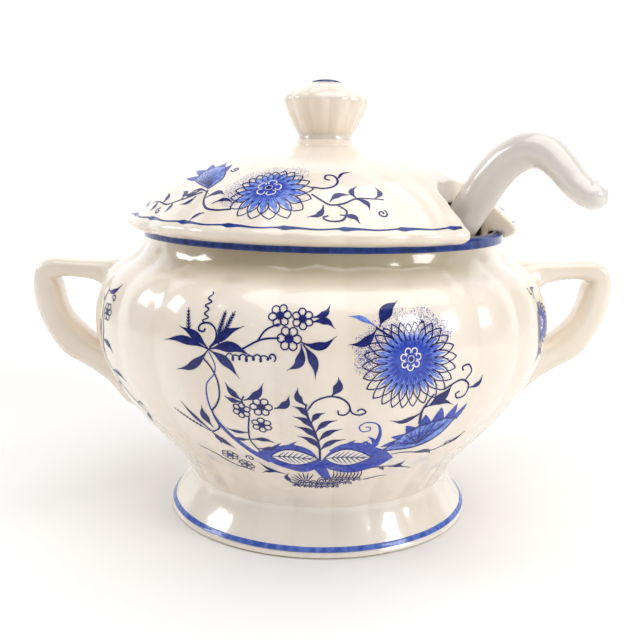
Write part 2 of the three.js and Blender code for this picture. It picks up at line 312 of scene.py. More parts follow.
def ribbed_tree():
    """The tree that turns a profile about Z and swells it between creases."""
    tree, given = new_tree("ribbed_turning", (
        ("Profile", "Geometry", None),
        ("Columns", "Int", 288),
        ("Lobes", "Int", RIBS),
        ("Crease Angle", "Float", CREASE_TURN),
        ("Crease Softness", "Float", 0.02),
        ("Finish", "Material", None),
    ), "Form")
    profile = given["Profile"]
    rows = add(tree, "GeometryNodeAttributeDomainSize", {"Geometry": profile})
    rows = rows.outputs["Point Count"]
    around = maths(tree, "ADD", given["Columns"], 1.0)
    plan = {"Size X": 1.0, "Size Y": 1.0, "Vertices X": around, "Vertices Y": rows}
    grid = add(tree, "GeometryNodeMeshGrid", plan).outputs["Mesh"]
    here = add(tree, "GeometryNodeInputPosition").outputs[0]
    flat = add(tree, "ShaderNodeSeparateXYZ", {0: here}).outputs
    share = maths(tree, "ADD", flat["X"], 0.5)
    up = maths(tree, "ADD", flat["Y"], 0.5)
    row = maths(tree, "MULTIPLY", up, maths(tree, "SUBTRACT", rows, 1.0))
    row = add(tree, "FunctionNodeFloatToInt", {0: row}, rounding_mode="ROUND").outputs[0]
    point = sampled(tree, profile, here, row, "FLOAT_VECTOR")
    point = add(tree, "ShaderNodeSeparateXYZ", {0: point}).outputs
    rib = sampled(tree, profile, named(tree, "rib", "FLOAT"), row, "FLOAT")

    # How far across its lobe a column stands gives the swelling, from a soft crease to a ridge.
    phase = maths(tree, "MULTIPLY", maths(tree, "MULTIPLY", share, given["Lobes"]), math.pi)
    wave = maths(tree, "SINE", phase)
    soft = maths(tree, "MULTIPLY_ADD", wave, wave, given["Crease Softness"])
    swell = maths(tree, "SUBTRACT", maths(tree, "SQRT", soft), MEAN_SWELL)
    radius = maths(tree, "MULTIPLY_ADD", swell, rib, point["X"])

    degrees = maths(tree, "ADD", maths(tree, "MULTIPLY", share, 360.0), given["Crease Angle"])
    angle = maths(tree, "RADIANS", degrees)
    east = maths(tree, "MULTIPLY", maths(tree, "SINE", angle), radius)
    inward = maths(tree, "MULTIPLY", radius, -1.0)
    north = maths(tree, "MULTIPLY", maths(tree, "COSINE", angle), inward)
    place = add(tree, "ShaderNodeCombineXYZ", {"X": east, "Y": north, "Z": point["Z"]})
    formed = add(
        tree, "GeometryNodeSetPosition", {"Geometry": grid, "Position": place.outputs[0]}
    )
    welding = {"Geometry": formed.outputs[0], "Distance": 0.02 * MM}
    welded = add(tree, "GeometryNodeMergeByDistance", welding)
    smooth = add(tree, "GeometryNodeSetShadeSmooth", {"Geometry": welded.outputs[0]})
    return end_tree(tree, smooth.outputs[0], given["Finish"], "Form")


RIBBED = ribbed_tree()

# %% [markdown]
# ## From a few rings to a smooth profile
# A profile is written as a handful of rings, [radius, height, rib depth] in
# millimetres, as a potter's template would give them. A centripetal spline through
# them puts a point about every 1.4 mm, so that the turned wall shows no facets, and
# at least four between two rings, which keeps tight curves such as a rim round.


# %% Splines, profiles and plain meshes
def spline(points, step, least=1):
    """Points along a centripetal Catmull-Rom curve through the given ones."""
    given = np.array(points, float)
    padded = np.vstack([2 * given[0] - given[1], given, 2 * given[-1] - given[-2]])
    found = []
    for i in range(len(given) - 1):
        a, b, c, d = padded[i : i + 4]
        gaps = [max(np.linalg.norm(q - p), 1e-6) ** 0.5 for p, q in ((a, b), (b, c), (c, d))]
        t0, t1, t2, t3 = np.cumsum([0.0, *gaps])
        count = max(least, math.ceil(np.linalg.norm(c - b) / step))
        for t in np.linspace(t1, t2, count, endpoint=False):
            p1 = (t1 - t) / (t1 - t0) * a + (t - t0) / (t1 - t0) * b
            p2 = (t2 - t) / (t2 - t1) * b + (t - t1) / (t2 - t1) * c
            p3 = (t3 - t) / (t3 - t2) * c + (t - t2) / (t3 - t2) * d
            q1 = (t2 - t) / (t2 - t0) * p1 + (t - t0) / (t2 - t0) * p2
            q2 = (t3 - t) / (t3 - t1) * p2 + (t - t1) / (t3 - t1) * p3
            found.append((t2 - t) / (t2 - t1) * q1 + (t - t1) / (t2 - t1) * q2)
    found.append(given[-1])
    return np.array(found)


def add_object(name, mesh):
    """Links a new object that holds the mesh, at the origin."""
    thing = bpy.data.objects.new(name, mesh)
    bpy.context.scene.collection.objects.link(thing)
    return thing


def face_outwards(mesh):
    """Welds a mesh's doubles, then turns its faces outwards."""
    work = bmesh.new()
    work.from_mesh(mesh)
    bmesh.ops.remove_doubles(work, verts=work.verts, dist=0.01 * MM)
    bmesh.ops.recalc_face_normals(work, faces=work.faces)
    if work.calc_volume(signed=True) < 0:
        bmesh.ops.reverse_faces(work, faces=work.faces)
    work.to_mesh(mesh)
    work.free()


def evaluated(thing, name):
    """The mesh that an object's modifiers make. The object itself is removed."""
    bpy.context.view_layer.update()
    graph = bpy.context.evaluated_depsgraph_get()
    mesh = bpy.data.meshes.new_from_object(thing.evaluated_get(graph), depsgraph=graph)
    mesh.name = name
    bpy.data.objects.remove(thing)
    return mesh


def made_plain(thing, name):
    """Replaces an object with a plain mesh of what its modifiers make."""
    mesh = evaluated(thing, name)
    face_outwards(mesh)
    mesh.shade_smooth()
    plain = add_object(name, mesh)
    print(f"{name}: {len(mesh.polygons)} faces")
    return plain


def run_tree(thing, tree, settings):
    """Puts a tree on an object, with its inputs set by name."""
    modifier = thing.modifiers.new(tree.name, "NODES")
    modifier.node_group = tree
    for item in tree.interface.items_tree:
        if item.in_out == "INPUT" and item.name in settings:
            modifier[item.identifier] = settings[item.name]


def turned(name, rings, finish, columns=288, lobes=RIBS, step=1.4, softness=0.02):
    """A ribbed form turned from rings of [radius, height, rib depth] in millimetres."""
    points = spline([[*ring, 0.0][:3] for ring in rings], step, least=4)
    points[:, 0] = np.maximum(points[:, 0], 0)
    mesh = bpy.data.meshes.new(name + "_profile")
    places = [(r * MM, 0.0, z * MM) for r, z, _ in points]
    mesh.from_pydata(places, [(i, i + 1) for i in range(len(places) - 1)], [])
    depth = mesh.attributes.new("rib", "FLOAT", "POINT")
    depth.data.foreach_set("value", np.maximum(points[:, 2], 0) * MM)
    profile = add_object(name + "_profile", mesh)
    run_tree(profile, RIBBED, {
        "Columns": columns, "Lobes": lobes, "Crease Angle": CREASE_TURN,
        "Crease Softness": softness, "Finish": finish,
    })
    return made_plain(profile, name)


print("helpers for forms ready")

# %% [markdown]
# ## The bowl
# The bowl swells from a narrow neck to its widest ring a little above half height,
# turns over a soft shoulder and ends in a short upright rim. Its 24 ribs are deepest
# on the shoulder and fade out before the rim. One closed profile runs from the
# underside, up the outside, over the rim and down the inside, so the wall has its
# true thickness wherever the lid is lifted away.

# %% Bowl
BOWL_OUTSIDE = [
    [74.9, 23.6, 0.9], [76.5, 27.6, 1.0], [80.6, 34.5, 1.2], [92, 48, 1.3],
    [106.5, 64.5, 1.4], [118.6, 83, 1.5], [124.2, 98, 1.6], [125.8, 110, 1.7],
    [124.8, 121, 1.9], [121, 132.5, 2.2], [115, 140, 2.4], [106, 145.5, 2.2],
    [101.4, 150.2, 1.2], [100, 154.5, 0.3], [99.6, 157.5],
]
BOWL_RIM = [[99.6, 160.6], [98.3, 162.1], [95.7, 162.1], [94.4, 160.6]]
BOWL_INSIDE = [
    [94.4, 153], [96.6, 149], [104, 143.5], [113.4, 136.5], [118.6, 127], [120.8, 110],
    [117.8, 96], [110.6, 80], [97, 61], [84, 45], [75, 34], [66, 29.6], [0, 28.8],
]
BOWL_UNDERSIDE = [[0, 21.6], [66, 21.6], [72.4, 21.6], [74.3, 22.3]]
bowl_line = [*BOWL_UNDERSIDE, *BOWL_OUTSIDE, *BOWL_RIM, *BOWL_INSIDE]
bowl = turned("ribbed_bowl", bowl_line, bowl_glaze)

# %% [markdown]
# ## The foot
# The pedestal was cast apart and luted on. It flares to a flat ring, which was wiped
# clean of glaze so that it wouldn't stick to the kiln shelf: the bare clay shows as a
# dull ring underneath.

# %% Foot
FOOT_OUTSIDE = [
    [85.4, 0.5], [86.0, 0.8], [86.2, 1.5], [85.6, 2.9], [82.9, 6.9, 0.3], [79.3, 12.2, 0.5],
    [76.5, 17.2, 0.7], [75.2, 20.8, 0.85], [74.9, 23.4, 0.9], [73, 25.4, 0.9],
]
FOOT_INSIDE = [[66, 24.4], [69.7, 14], [77.7, 4], [79.6, 1.4], [80.4, 0.6], [81.2, 0.5]]
foot = turned("pedestal_foot", [*FOOT_OUTSIDE, *FOOT_INSIDE, FOOT_OUTSIDE[0]], foot_glaze_painted_lighter)
WIPED_RING = [[80.6, 0.9], [80.6, 0.4], [85.5, 0.4], [85.5, 0.9], [80.6, 0.9]]
foot_ring = turned("bare_foot_ring", WIPED_RING, biscuit, step=3)

# %% [markdown]
# ## The knob
# A fluted button knob: twelve flutes swell to a wide ring, then draw in under a small
# raised boss. The same tree makes it, with a lobe for each flute.

# %% Knob
KNOB_RINGS = [
    [0, 208.8], [15.2, 208.8], [14.9, 211.2, 0.2], [16.9, 214.4, 0.6], [20, 220.4, 0.9],
    [22.8, 227.2, 1.1], [23.5, 229.6, 1.2], [22.9, 231.9, 1.1], [18.6, 235, 0.8],
    [12.8, 238, 0.4], [8.6, 239.4, 0.1], [7.4, 240.4], [4, 241.3], [0, 241.5],
]
knob = turned("fluted_knob", KNOB_RINGS, knob_glaze, columns=180, lobes=FLUTES, step=0.8)

# %% [markdown]
# ## The lid
# The lid is a shallow scalloped dome with a flange that drops inside the rim. Its
# notch was cut through the leather-hard clay and wiped smooth, so the cut edges are
# round. The tree makes the whole dome. A Boolean takes the notch out, which leaves
# knife edges, so a voxel remesh and a little smoothing then round them, as a
# sponge does.

# %% Lid
LID_OUTSIDE = [
    [101, 159.6, 0.8], [106.6, 161.6, 1.7], [108.1, 164.1, 1.9], [106.6, 166.7, 1.8],
    [103, 170, 1.7], [96, 176.2, 1.5], [88, 182.8, 1.3], [80, 188, 1.1], [70, 193.6, 1.0],
    [58, 198.3, 0.8], [46, 201.6, 0.6], [34, 204.4, 0.4], [24, 206.4, 0.2], [18, 208.4],
    [14, 209.5], [0, 209.6],
]
LID_INSIDE = [
    [0, 201.5], [32, 199.5], [56, 191.4], [70, 183], [79, 176.4], [86, 172.6], [89.2, 167],
    [89.2, 156.4], [90.2, 155.2], [92.2, 155.2], [93.2, 156.7], [93.2, 162.4], [100.6, 162.6],
]
NOTCH_FROM, NOTCH_TO = 40.5, 68.5  # degrees from the front
NOTCH_INNER, NOTCH_CORNER, NOTCH_PAST = 79.0, 11.0, 130.0  # radii and corner, millimetres
CORNER_TURN = 7.0  # degrees over which a corner bends
CUTTER_HEIGHTS = (140, 220)
VOXEL = 0.95 * MM


def round_the_axis(angle, radius, height=0.0):
    """A point at an angle from the front, in degrees, and a radius in millimetres."""
    angle = math.radians(angle)
    return Vector((radius * math.sin(angle), -radius * math.cos(angle), height)) * MM


def prism(name, outline, low, high):
    """An upright prism over a plan outline, as a cutter."""
    work = bmesh.new()
    floor = [work.verts.new((p.x, p.y, low * MM)) for p in outline]
    roof = [work.verts.new((p.x, p.y, high * MM)) for p in outline]
    work.faces.new(floor)
    work.faces.new(roof)
    for i in range(len(outline)):
        j = (i + 1) % len(outline)
        work.faces.new((floor[i], floor[j], roof[j], roof[i]))
    mesh = bpy.data.meshes.new(name)
    work.to_mesh(mesh)
    work.free()
    face_outwards(mesh)
    return add_object(name, mesh)


def notch_outline():
    """Plan of the notch: a wedge open at the edge, with round inner corners."""
    plan = [round_the_axis(NOTCH_FROM, NOTCH_PAST), round_the_axis(NOTCH_TO, NOTCH_PAST)]
    for side, way, order in ((NOTCH_TO, -1, 1), (NOTCH_FROM, 1, -1)):
        start = round_the_axis(side, NOTCH_INNER + NOTCH_CORNER)
        middle = round_the_axis(side + way, NOTCH_INNER)
        end = round_the_axis(side + way * CORNER_TURN, NOTCH_INNER)
        arc = [start * (1 - t) ** 2 + middle * 2 * t * (1 - t) + end * t * t
               for t in np.linspace(0, 1, 9)]
        plan += arc[::order]
    return plan


def cut_by(thing, cutter):
    """Takes one form out of another."""
    cut = thing.modifiers.new("cut", "BOOLEAN")
    cut.object = cutter
    cut.solver = "EXACT"


def dressed(thing, finish):
    """Gives a cut piece its one finish again."""
    thing.data.materials.clear()
    thing.data.materials.append(finish)
    return thing


whole_lid = turned("lid_blank", [*LID_INSIDE, *LID_OUTSIDE], ivory_glaze)
cutter = prism("notch_cutter", notch_outline(), *CUTTER_HEIGHTS)
cut_by(whole_lid, cutter)
skin = whole_lid.modifiers.new("sponged", "REMESH")
skin.mode = "VOXEL"
skin.voxel_size = VOXEL
wipe = whole_lid.modifiers.new("wiped", "SMOOTH")
wipe.factor = 0.5
wipe.iterations = 6
lid = dressed(made_plain(whole_lid, "scalloped_lid"), ivory_glaze)
bpy.data.objects.remove(cutter)

# %% [markdown]
# ## The handles
# Each handle is an ear of flat strap with softly rounded edges, flat on top, drawn
# down in a curve and luted to the wall at both ends. It is lofted between its outer
# and its inner edge: each pair of points gives one rounded, nearly rectangular
# section. Near the bowl the section swells into a fillet, where slip was smoothed
# over the join. The left handle sits 4 mm lower than the right one. Both straps end
# inside the wall: what would stand out inside the bowl is cut away.

# %% Handles
STRAP_EDGES = [  # outer edge (x, z), then inner edge (x, z)
    [91, 144.2, 91, 117], [101, 144.0, 101, 119.6], [112, 143.9, 112, 123],
    [124, 143.9, 124, 130.5], [135, 144.0, 135.5, 133.4], [146, 144.6, 146, 134],
    [154.5, 144.6, 150.5, 132.9], [161.6, 140.6, 151, 131.6], [163.9, 132.5, 149.4, 128.6],
    [164, 124, 148.4, 124], [162.3, 115.6, 146.8, 118.2], [159.2, 107.6, 143.9, 112],
    [155.2, 99.6, 139.8, 107.6], [148.2, 90, 131.4, 100], [133.8, 81.6, 120.6, 93.2],
    [122.4, 73, 110.4, 87], [112.6, 61.4, 101.6, 83], [104, 57, 95, 80], [95, 52, 86, 76],
]
STRAP_HALF_DEPTH = 11.0
SQUARENESS = 3.2  # 2 would make the strap's section an oval
LEFT_DROP = 4.0
FILLET, FILLET_SHARE = 6.5, 0.62  # where slip begins to build up, and how thickly it does


def rounded_section(half_high, half_wide, count=40):
    """A rounded rectangle as (height, width) pairs round its middle."""
    places = []
    for k in range(count):
        turn_at = 2 * math.pi * (k + 0.5) / count
        c, s = math.cos(turn_at), math.sin(turn_at)
        reach = (abs(c) ** SQUARENESS + abs(s) ** SQUARENESS) ** (-1 / SQUARENESS)
        places.append((half_high * c * reach, half_wide * s * reach))
    return places


def loft(name, sections, finish):
    """A closed skin over rings of points, capped at both ends."""
    work = bmesh.new()
    rings = [[work.verts.new(p) for p in ring] for ring in sections]
    for low, high in zip(rings, rings[1:]):
        for i in range(len(low)):
            j = (i + 1) % len(low)
            work.faces.new((low[i], low[j], high[j], high[i]))
    for ring in (rings[0], rings[-1]):
        middle = work.verts.new(sum((v.co for v in ring), Vector()) / len(ring))
        for i in range(len(ring)):
            work.faces.new((ring[i], ring[(i + 1) % len(ring)], middle))
    mesh = bpy.data.meshes.new(name)
    work.to_mesh(mesh)
    work.free()
    face_outwards(mesh)
    mesh.shade_smooth()
    mesh.materials.append(finish)
    return add_object(name, mesh)


def surface_of(thing):
    """A search tree over an object's faces."""
    mesh = thing.data
    places = [v.co.copy() for v in mesh.vertices]
    return BVHTree.FromPolygons(places, [tuple(p.vertices) for p in mesh.polygons])


BOWL_SKIN = surface_of(bowl)


def handle(side, drop):
    """The strap on one side: 1 for +X, -1 for -X."""
    sections = []
    for x_out, z_out, x_in, z_in in spline(STRAP_EDGES, 2.2, least=2):
        outer, inner = Vector((x_out, 0, z_out)), Vector((x_in, 0, z_in))
        middle = (outer + inner) / 2
        across = (outer - inner).normalized()
        ring = []
        for high, wide in rounded_section((outer - inner).length / 2, STRAP_HALF_DEPTH):
            p = middle + across * high + Vector((0, wide, 0))
            ring.append(Vector((side * p.x, side * p.y, p.z - drop)) * MM)
        sections.append(ring)
    strap = loft("strap", sections, strap_glaze)
    normals = [vertex.normal.copy() for vertex in strap.data.vertices]
    for vertex, normal in zip(strap.data.vertices, normals):
        near, face_normal, _, distance = BOWL_SKIN.find_nearest(vertex.co)
        outside = (vertex.co - near).dot(face_normal) > 0
        gap = distance / MM if outside else 0.0
        if gap < FILLET:
            swell = FILLET * (1 - math.sqrt(1 - (1 - gap / FILLET) ** 2))
            along = normal - face_normal * normal.dot(face_normal)
            vertex.co += along * swell * FILLET_SHARE * MM
    return strap


def ear(name, side, drop):
    """A handle whose ends stop inside the bowl's wall."""
    strap = handle(side, drop)
    cut_by(strap, hollow)
    return dressed(made_plain(strap, name), strap_glaze)


HIDDEN_END = 1.2  # how far short of the wall's inside a strap stops
hollow_line = [[0, 172], [95.6, 172], *[[r + HIDDEN_END, z] for r, z in BOWL_INSIDE[:-1]],
               [0, 28]]
hollow = turned("hollow_of_bowl", hollow_line, strap_glaze, columns=144, lobes=1, softness=1.0)
handle_right = ear("right_handle", 1, 0.0)
handle_left = ear("left_handle", -1, LEFT_DROP)
bpy.data.objects.remove(hollow)

# %% [markdown]
# ## The ladle
# A plain white ladle: a deep round cup and an oval arm that rises through the notch,
# arches over and turns up at its tip. Its line lies in one upright plane, so the arm
# is lofted from ovals along a spline in that plane. The cup is a turned form again,
# without ribs.

# %% Ladle
LADLE_ANGLE = 54.5  # degrees from the front to the upright plane that the arm lies in
CUP_OFFSET = -24.0  # how far the cup stands behind the axis in that plane
CUP_RINGS = [
    [0, 29.5], [13, 29.5], [23, 31.9], [32, 37.5], [38, 46], [40.4, 54.5], [41, 59],
    [40.4, 60.4], [39.3, 60.8], [38, 60.4], [37.4, 59.4], [36.6, 57.5], [36.2, 52.5],
    [33.4, 45.5], [27.6, 38.9], [17, 34.5], [0, 33.5],
]
ARM_LINE = [
    [9, 45.5], [13, 51], [26.5, 73], [54.5, 118], [82.5, 162.5], [93.5, 179.5], [101.5, 191.8],
    [110, 200.4], [120, 205], [129.5, 203.8], [137, 197.9], [146, 188.9], [152.8, 184.9],
    [159.4, 187],
]
ARM_GIRTH = [  # share of the length, half thickness, half width
    [0, 2.2, 3.2], [0.03, 6.2, 7.6], [0.2, 7.8, 9], [0.45, 9, 10], [0.7, 9.4, 10.6],
    [0.8, 8.8, 10.6], [0.88, 7.6, 10.4], [0.94, 6.9, 10.3], [0.965, 6.5, 9.7],
]
TIP_FROM = 0.965  # the share where the round tip begins
RIDGE, RIDGE_FROM = 0.09, 0.6  # a low ridge along the top of the arm, and where it begins


def ladle_arm():
    """Ovals along the arm's line, in the upright plane at LADLE_ANGLE."""
    line = spline(ARM_LINE, 1.6)
    steps = np.linalg.norm(np.diff(line, axis=0), axis=1)
    shares = np.concatenate([[0], np.cumsum(steps)]) / steps.sum()
    # The last rings crowd together so that the tip closes in a round end.
    tip = 1 - 0.03 * np.cos(np.linspace(0, math.pi / 2, 12))
    sideways = round_the_axis(LADLE_ANGLE + 90, 1000).normalized()
    girth = np.array(ARM_GIRTH)

    def on_line(share):
        return np.array([np.interp(share, shares, line[:, k]) for k in (0, 1)])

    sections = []
    for share in np.concatenate([shares[shares < TIP_FROM], tip]):
        step = on_line(min(share + 0.004, 1)) - on_line(max(share - 0.004, 0))
        along = round_the_axis(LADLE_ANGLE, step[0]) + Vector((0, 0, step[1] * MM))
        normal = sideways.cross(along).normalized()
        thick, wide = (np.interp(share, girth[:, 0], girth[:, k]) for k in (1, 2))
        if share > TIP_FROM:
            past = (share - TIP_FROM) / (1 - TIP_FROM)
            closing = math.sqrt(max(1 - past ** 2, 0.0004))
            thick, wide = thick * closing, wide * closing
        middle = round_the_axis(LADLE_ANGLE, *on_line(share))
        ring = []
        for turn_at in np.arange(40) * 2 * math.pi / 40:
            crest = max(math.cos(turn_at), 0) ** 6 * min(max(share - RIDGE_FROM, 0) * 4, 1)
            up_by = thick * (math.cos(turn_at) + RIDGE * crest)
            ring.append(middle + (normal * up_by + sideways * wide * math.sin(turn_at)) * MM)
        sections.append(ring)
    return loft("ladle_arm", sections, white_glaze)


arm = ladle_arm()
cup = turned("ladle_cup", CUP_RINGS, white_glaze, columns=128, lobes=1, softness=1.0)
cup.data.transform(Matrix.Translation(round_the_axis(LADLE_ANGLE, CUP_OFFSET)))
print("arm", len(arm.data.polygons), "faces")

# %% [markdown]
# ## Painted bands
# A blue band runs round the rim and round the foot, a thinner line follows the lid's
# scallops, and the boss of the knob is dabbed with blue. Bands could be painted in the
# glaze material, but each is a finish of its own with a crisp edge, so each is a very
# thin film turned with the same tree, a tenth of a millimetre proud of the glaze.

# %% Bands on the rim, the foot and the knob
FILM = 0.1  # how far the films stand proud, in millimetres


def band(name, rings, finish, **how):
    """A closed film over a stretch of a profile, with its back buried in the wall."""
    front = [[r + FILM, z, *rib] for r, z, *rib in rings]
    back = [[r - 0.5, z, *rib] for r, z, *rib in rings[::-1]]
    return turned(name, [*front, *back, front[0]], finish, step=1.0, **how)


rim_band = turned(
    "rim_band",
    [[99.8, 156.4, 0.1], [99.7, 158.8], [99.7, 160.8], [98.9, 161.95], [97.2, 162.22],
     [97.2, 161.6], [98.6, 161.4], [99.1, 160.4], [99.1, 156.4], [99.8, 156.4, 0.1]],
    band_blue, step=1.0,
)
foot_band = band("foot_band", [[85.55, 3.6], [84.9, 4.5, 0.05], [84.1, 5.65, 0.15]], foot_blue)
knob_cap = turned(
    "knob_cap",
    [[8.3, 239.75], [7.5, 240.5], [4.1, 241.4], [0, 241.6], [0, 240.6], [7, 239], [8.3, 239.75]],
    band_blue, columns=48, lobes=12, step=1.0,
)

# %% [markdown]
# ## The blue print
# The flowers were printed on tissue, cut into pieces and laid on the biscuit ware, so
# the drawing is flat art that bends with the wall. An image would be the usual way to
# do that. Here the art is drawn as real, very thin films, which stay crisp however
# near the eye comes. Each shape is a strip between two lines on a flat sheet, whose
# coordinates are degrees round the axis and millimetres up the wall (or, on the lid,
# inwards from its edge). The sheet knows how big a degree is at each height, so a
# stroke keeps its true width, and every point is then dropped onto the finished wall.

# %% A sheet that wraps round a form
TONES = {  # material, and height over the glaze in millimetres
    "wash": (wash_blue, 0.05),
    "solid": (leaf_blue, 0.08),
    "bare": (reserve_glaze, 0.11),
    "ink": (ink_blue, 0.14),
}
PEN = 1.5  # how much the ink spreads in the glaze
LID_SKIN = surface_of(lid)
wall_line = spline([ring[:2] for ring in BOWL_OUTSIDE], 1.0)
dome_line = spline([ring[:2] for ring in LID_OUTSIDE[2:]], 1.0)
dome_run = np.concatenate([[0], np.cumsum(np.linalg.norm(np.diff(dome_line, axis=0), axis=1))])


def wall_spot(angle, height):
    """Where a point of the sheet lies on the bowl, and which way the wall faces."""
    start = round_the_axis(angle, 200, height)
    aim = Vector((-start.x, -start.y, 0)).normalized()
    return BOWL_SKIN.ray_cast(start, aim)[:2]


def dome_spot(angle, inwards):
    """The same on the lid, for a distance inwards from its edge."""
    start = round_the_axis(angle, np.interp(inwards, dome_run, dome_line[:, 0]), 250)
    return LID_SKIN.ray_cast(start, Vector((0, 0, -1)))[:2]


def wall_scale(angle, height):
    """Millimetres on the bowl for one degree, and for one millimetre of height."""
    radius = np.interp(height, wall_line[:, 1], wall_line[:, 0])
    slope = np.interp(height + 2, wall_line[:, 1], wall_line[:, 0]) - np.interp(
        height - 2, wall_line[:, 1], wall_line[:, 0]
    )
    return np.array([math.radians(radius), math.hypot(1, slope / 4)])


def dome_scale(angle, inwards):
    """The same on the lid."""
    return np.array([math.radians(np.interp(inwards, dome_run, dome_line[:, 0])), 1.0])


def swung(out, over, way):
    """A point so far out in a direction, and so far over to its left."""
    return out * math.cos(way) - over * math.sin(way), out * math.sin(way) + over * math.cos(way)


class Print:
    """A drawing in four tones, on a sheet that wraps round one form."""

    def __init__(self, name, spot, scale):
        self.name, self.spot, self.scale = name, spot, scale
        self.points = {tone: [] for tone in TONES}
        self.faces = {tone: [] for tone in TONES}
        self.turn = 0.0
        self.strips = 0

    def strip(self, left, right, tone, across=1):
        """Fills the sheet between two lines with as many points each."""
        points, faces = self.points[tone], self.faces[tone]
        lift = TONES[tone][1] + 0.0012 * (self.strips % 20)
        self.strips += 1
        first, wide = len(points), across + 1
        for a, b in zip(left, right):
            for k in range(wide):
                at = a + (b - a) * k / across
                points.append((at[0] + self.turn, at[1], lift))
        for i in range(len(left) - 1):
            for k in range(across):
                j = first + i * wide + k
                faces.append((j, j + 1, j + 1 + wide, j + wide))

    def stroke(self, points, widths, tone=None, step=1.3):
        """A stroke along the points. widths are half widths in mm, spread evenly.

        Without a tone it is an ink line, which the tissue prints PEN times as wide."""
        if tone is None:
            tone, widths = "ink", [PEN * width for width in widths]
        points = np.array(points, float)
        unit = self.scale(*points.mean(axis=0))
        line = spline(points * unit, step, least=2)
        along = np.gradient(line, axis=0)
        along /= np.maximum(np.linalg.norm(along, axis=1, keepdims=True), 1e-9)
        beside = np.stack([-along[:, 1], along[:, 0]], axis=1)
        run = np.concatenate([[0], np.cumsum(np.linalg.norm(np.diff(line, axis=0), axis=1))])
        half = np.interp(run / run[-1], np.linspace(0, 1, len(widths)), widths)[:, None]
        across = max(1, math.ceil(2 * max(widths) / 1.5))
        self.strip((line + beside * half) / unit, (line - beside * half) / unit, tone, across)

    def between(self, upper, lower, tone):
        """Fills between an upper and a lower edge that share both ends."""
        edges = []
        for edge in (upper, lower):
            line = spline(edge, 0.5, least=8)
            places = np.linspace(0, len(line) - 1, 40)
            edges.append(np.stack([np.interp(places, range(len(line)), line[:, k])
                                   for k in (0, 1)], axis=1))
        self.strip(edges[0], edges[1], tone, 10)

    def at(self, centre, offsets):
        """Sheet coordinates of offsets in millimetres from a centre."""
        centre = np.array(centre, float)
        return centre + np.array(offsets, float) / self.scale(*centre)

    def disc(self, centre, radius, tone):
        """A round dot."""
        turns = np.linspace(-math.pi / 2, math.pi / 2, 7)
        left = [(-radius * math.cos(t), radius * math.sin(t)) for t in turns]
        right = [(radius * math.cos(t), radius * math.sin(t)) for t in turns]
        self.strip(self.at(centre, left), self.at(centre, right), tone,
                   max(2, math.ceil(radius * 1.4)))

    def course(self, start, end):
        """Both ends, the sheet's unit between them, and the way across in millimetres."""
        start, end = np.array(start, float), np.array(end, float)
        unit = self.scale(*(start + end) / 2)
        return start, end, unit, (end - start) * unit

    def leaf(self, root, tip, width, bend=0.12, tone="ink"):
        """A leaf on a short stalk, bowed by a share of its length, with a flicked tip."""
        root, tip, unit, chord = self.course(root, tip)
        side = np.array([-chord[1], chord[0]]) * bend / unit
        along = tip - root
        line = [root, root + along * 0.3 + side * 0.7, root + along * 0.66 + side * 0.9,
                root + along * 0.94 + side * 0.15, tip + along * 0.04 - side * 0.1]
        belly = [0.3, 0.33, 0.36 * width, 0.7 * width, 0.92 * width, 0.86 * width,
                 0.6 * width, 0.3 * width, 0.2, 0.08]
        self.stroke(line, belly, tone, step=1.0)

    def leaves(self, table, tone="ink"):
        """Several leaves, each [root x, root y, tip x, tip y, width, bend]."""
        for x0, y0, x1, y1, width, bend in table:
            self.leaf((x0, y0), (x1, y1), width, bend, tone)

    def curl(self, centre, radius, start, turns, width=0.3):
        """A spiral tendril that winds in to a small blob. start is in degrees."""
        spiral = []
        count = max(8, round(abs(turns) * 14))
        for k in range(count + 1):
            share = k / count
            at = math.radians(start) + 2 * math.pi * turns * share
            reach = radius * (1 - 0.78 * share)
            spiral.append((reach * math.cos(at), reach * math.sin(at)))
        places = self.at(centre, spiral)
        self.stroke(places, [width * 0.8, width, width * 0.8], step=0.8)
        self.disc(places[-1], width * 1.7, "ink")

    def squiggle(self, start, end, waves, swing, coil=0.0, width=0.2):
        """A wiry tendril between two points: waves, or with a coil in mm, loops."""
        start, end, unit, chord = self.course(start, end)
        ahead = chord / np.linalg.norm(chord)
        beside = np.array([-ahead[1], ahead[0]])
        places = []
        for share in np.linspace(0, 1, waves * 12 + 1):
            phase = 2 * math.pi * waves * share
            over = swing * math.sin(phase) * (0.75 + 0.25 * math.sin(3.1 * share * waves))
            forward = chord * share + ahead * coil * (1 - math.cos(phase))
            places.append(start + (forward + beside * over) / unit)
        self.stroke(places, [width, width * 1.3, width], step=0.5)

    def feather(self, root, tip, barbs=9, length=2.6):
        """A plume: a fine stem with short slanting barbs on both sides."""
        root, tip, unit, chord = self.course(root, tip)
        ahead = chord / np.linalg.norm(chord)
        side = np.array([-ahead[1], ahead[0]])
        self.stroke([root, tip], [0.2, 0.22, 0.12])
        for k in range(barbs):
            base = root + (tip - root) * (0.22 + 0.72 * k / barbs)
            reach = length * (1 - 0.4 * k / barbs)
            for way in (-1, 1):
                end = base + (ahead * reach * 0.75 + side * way * reach * 0.62) / unit
                self.stroke([base, end], [0.26, 0.2, 0.05])

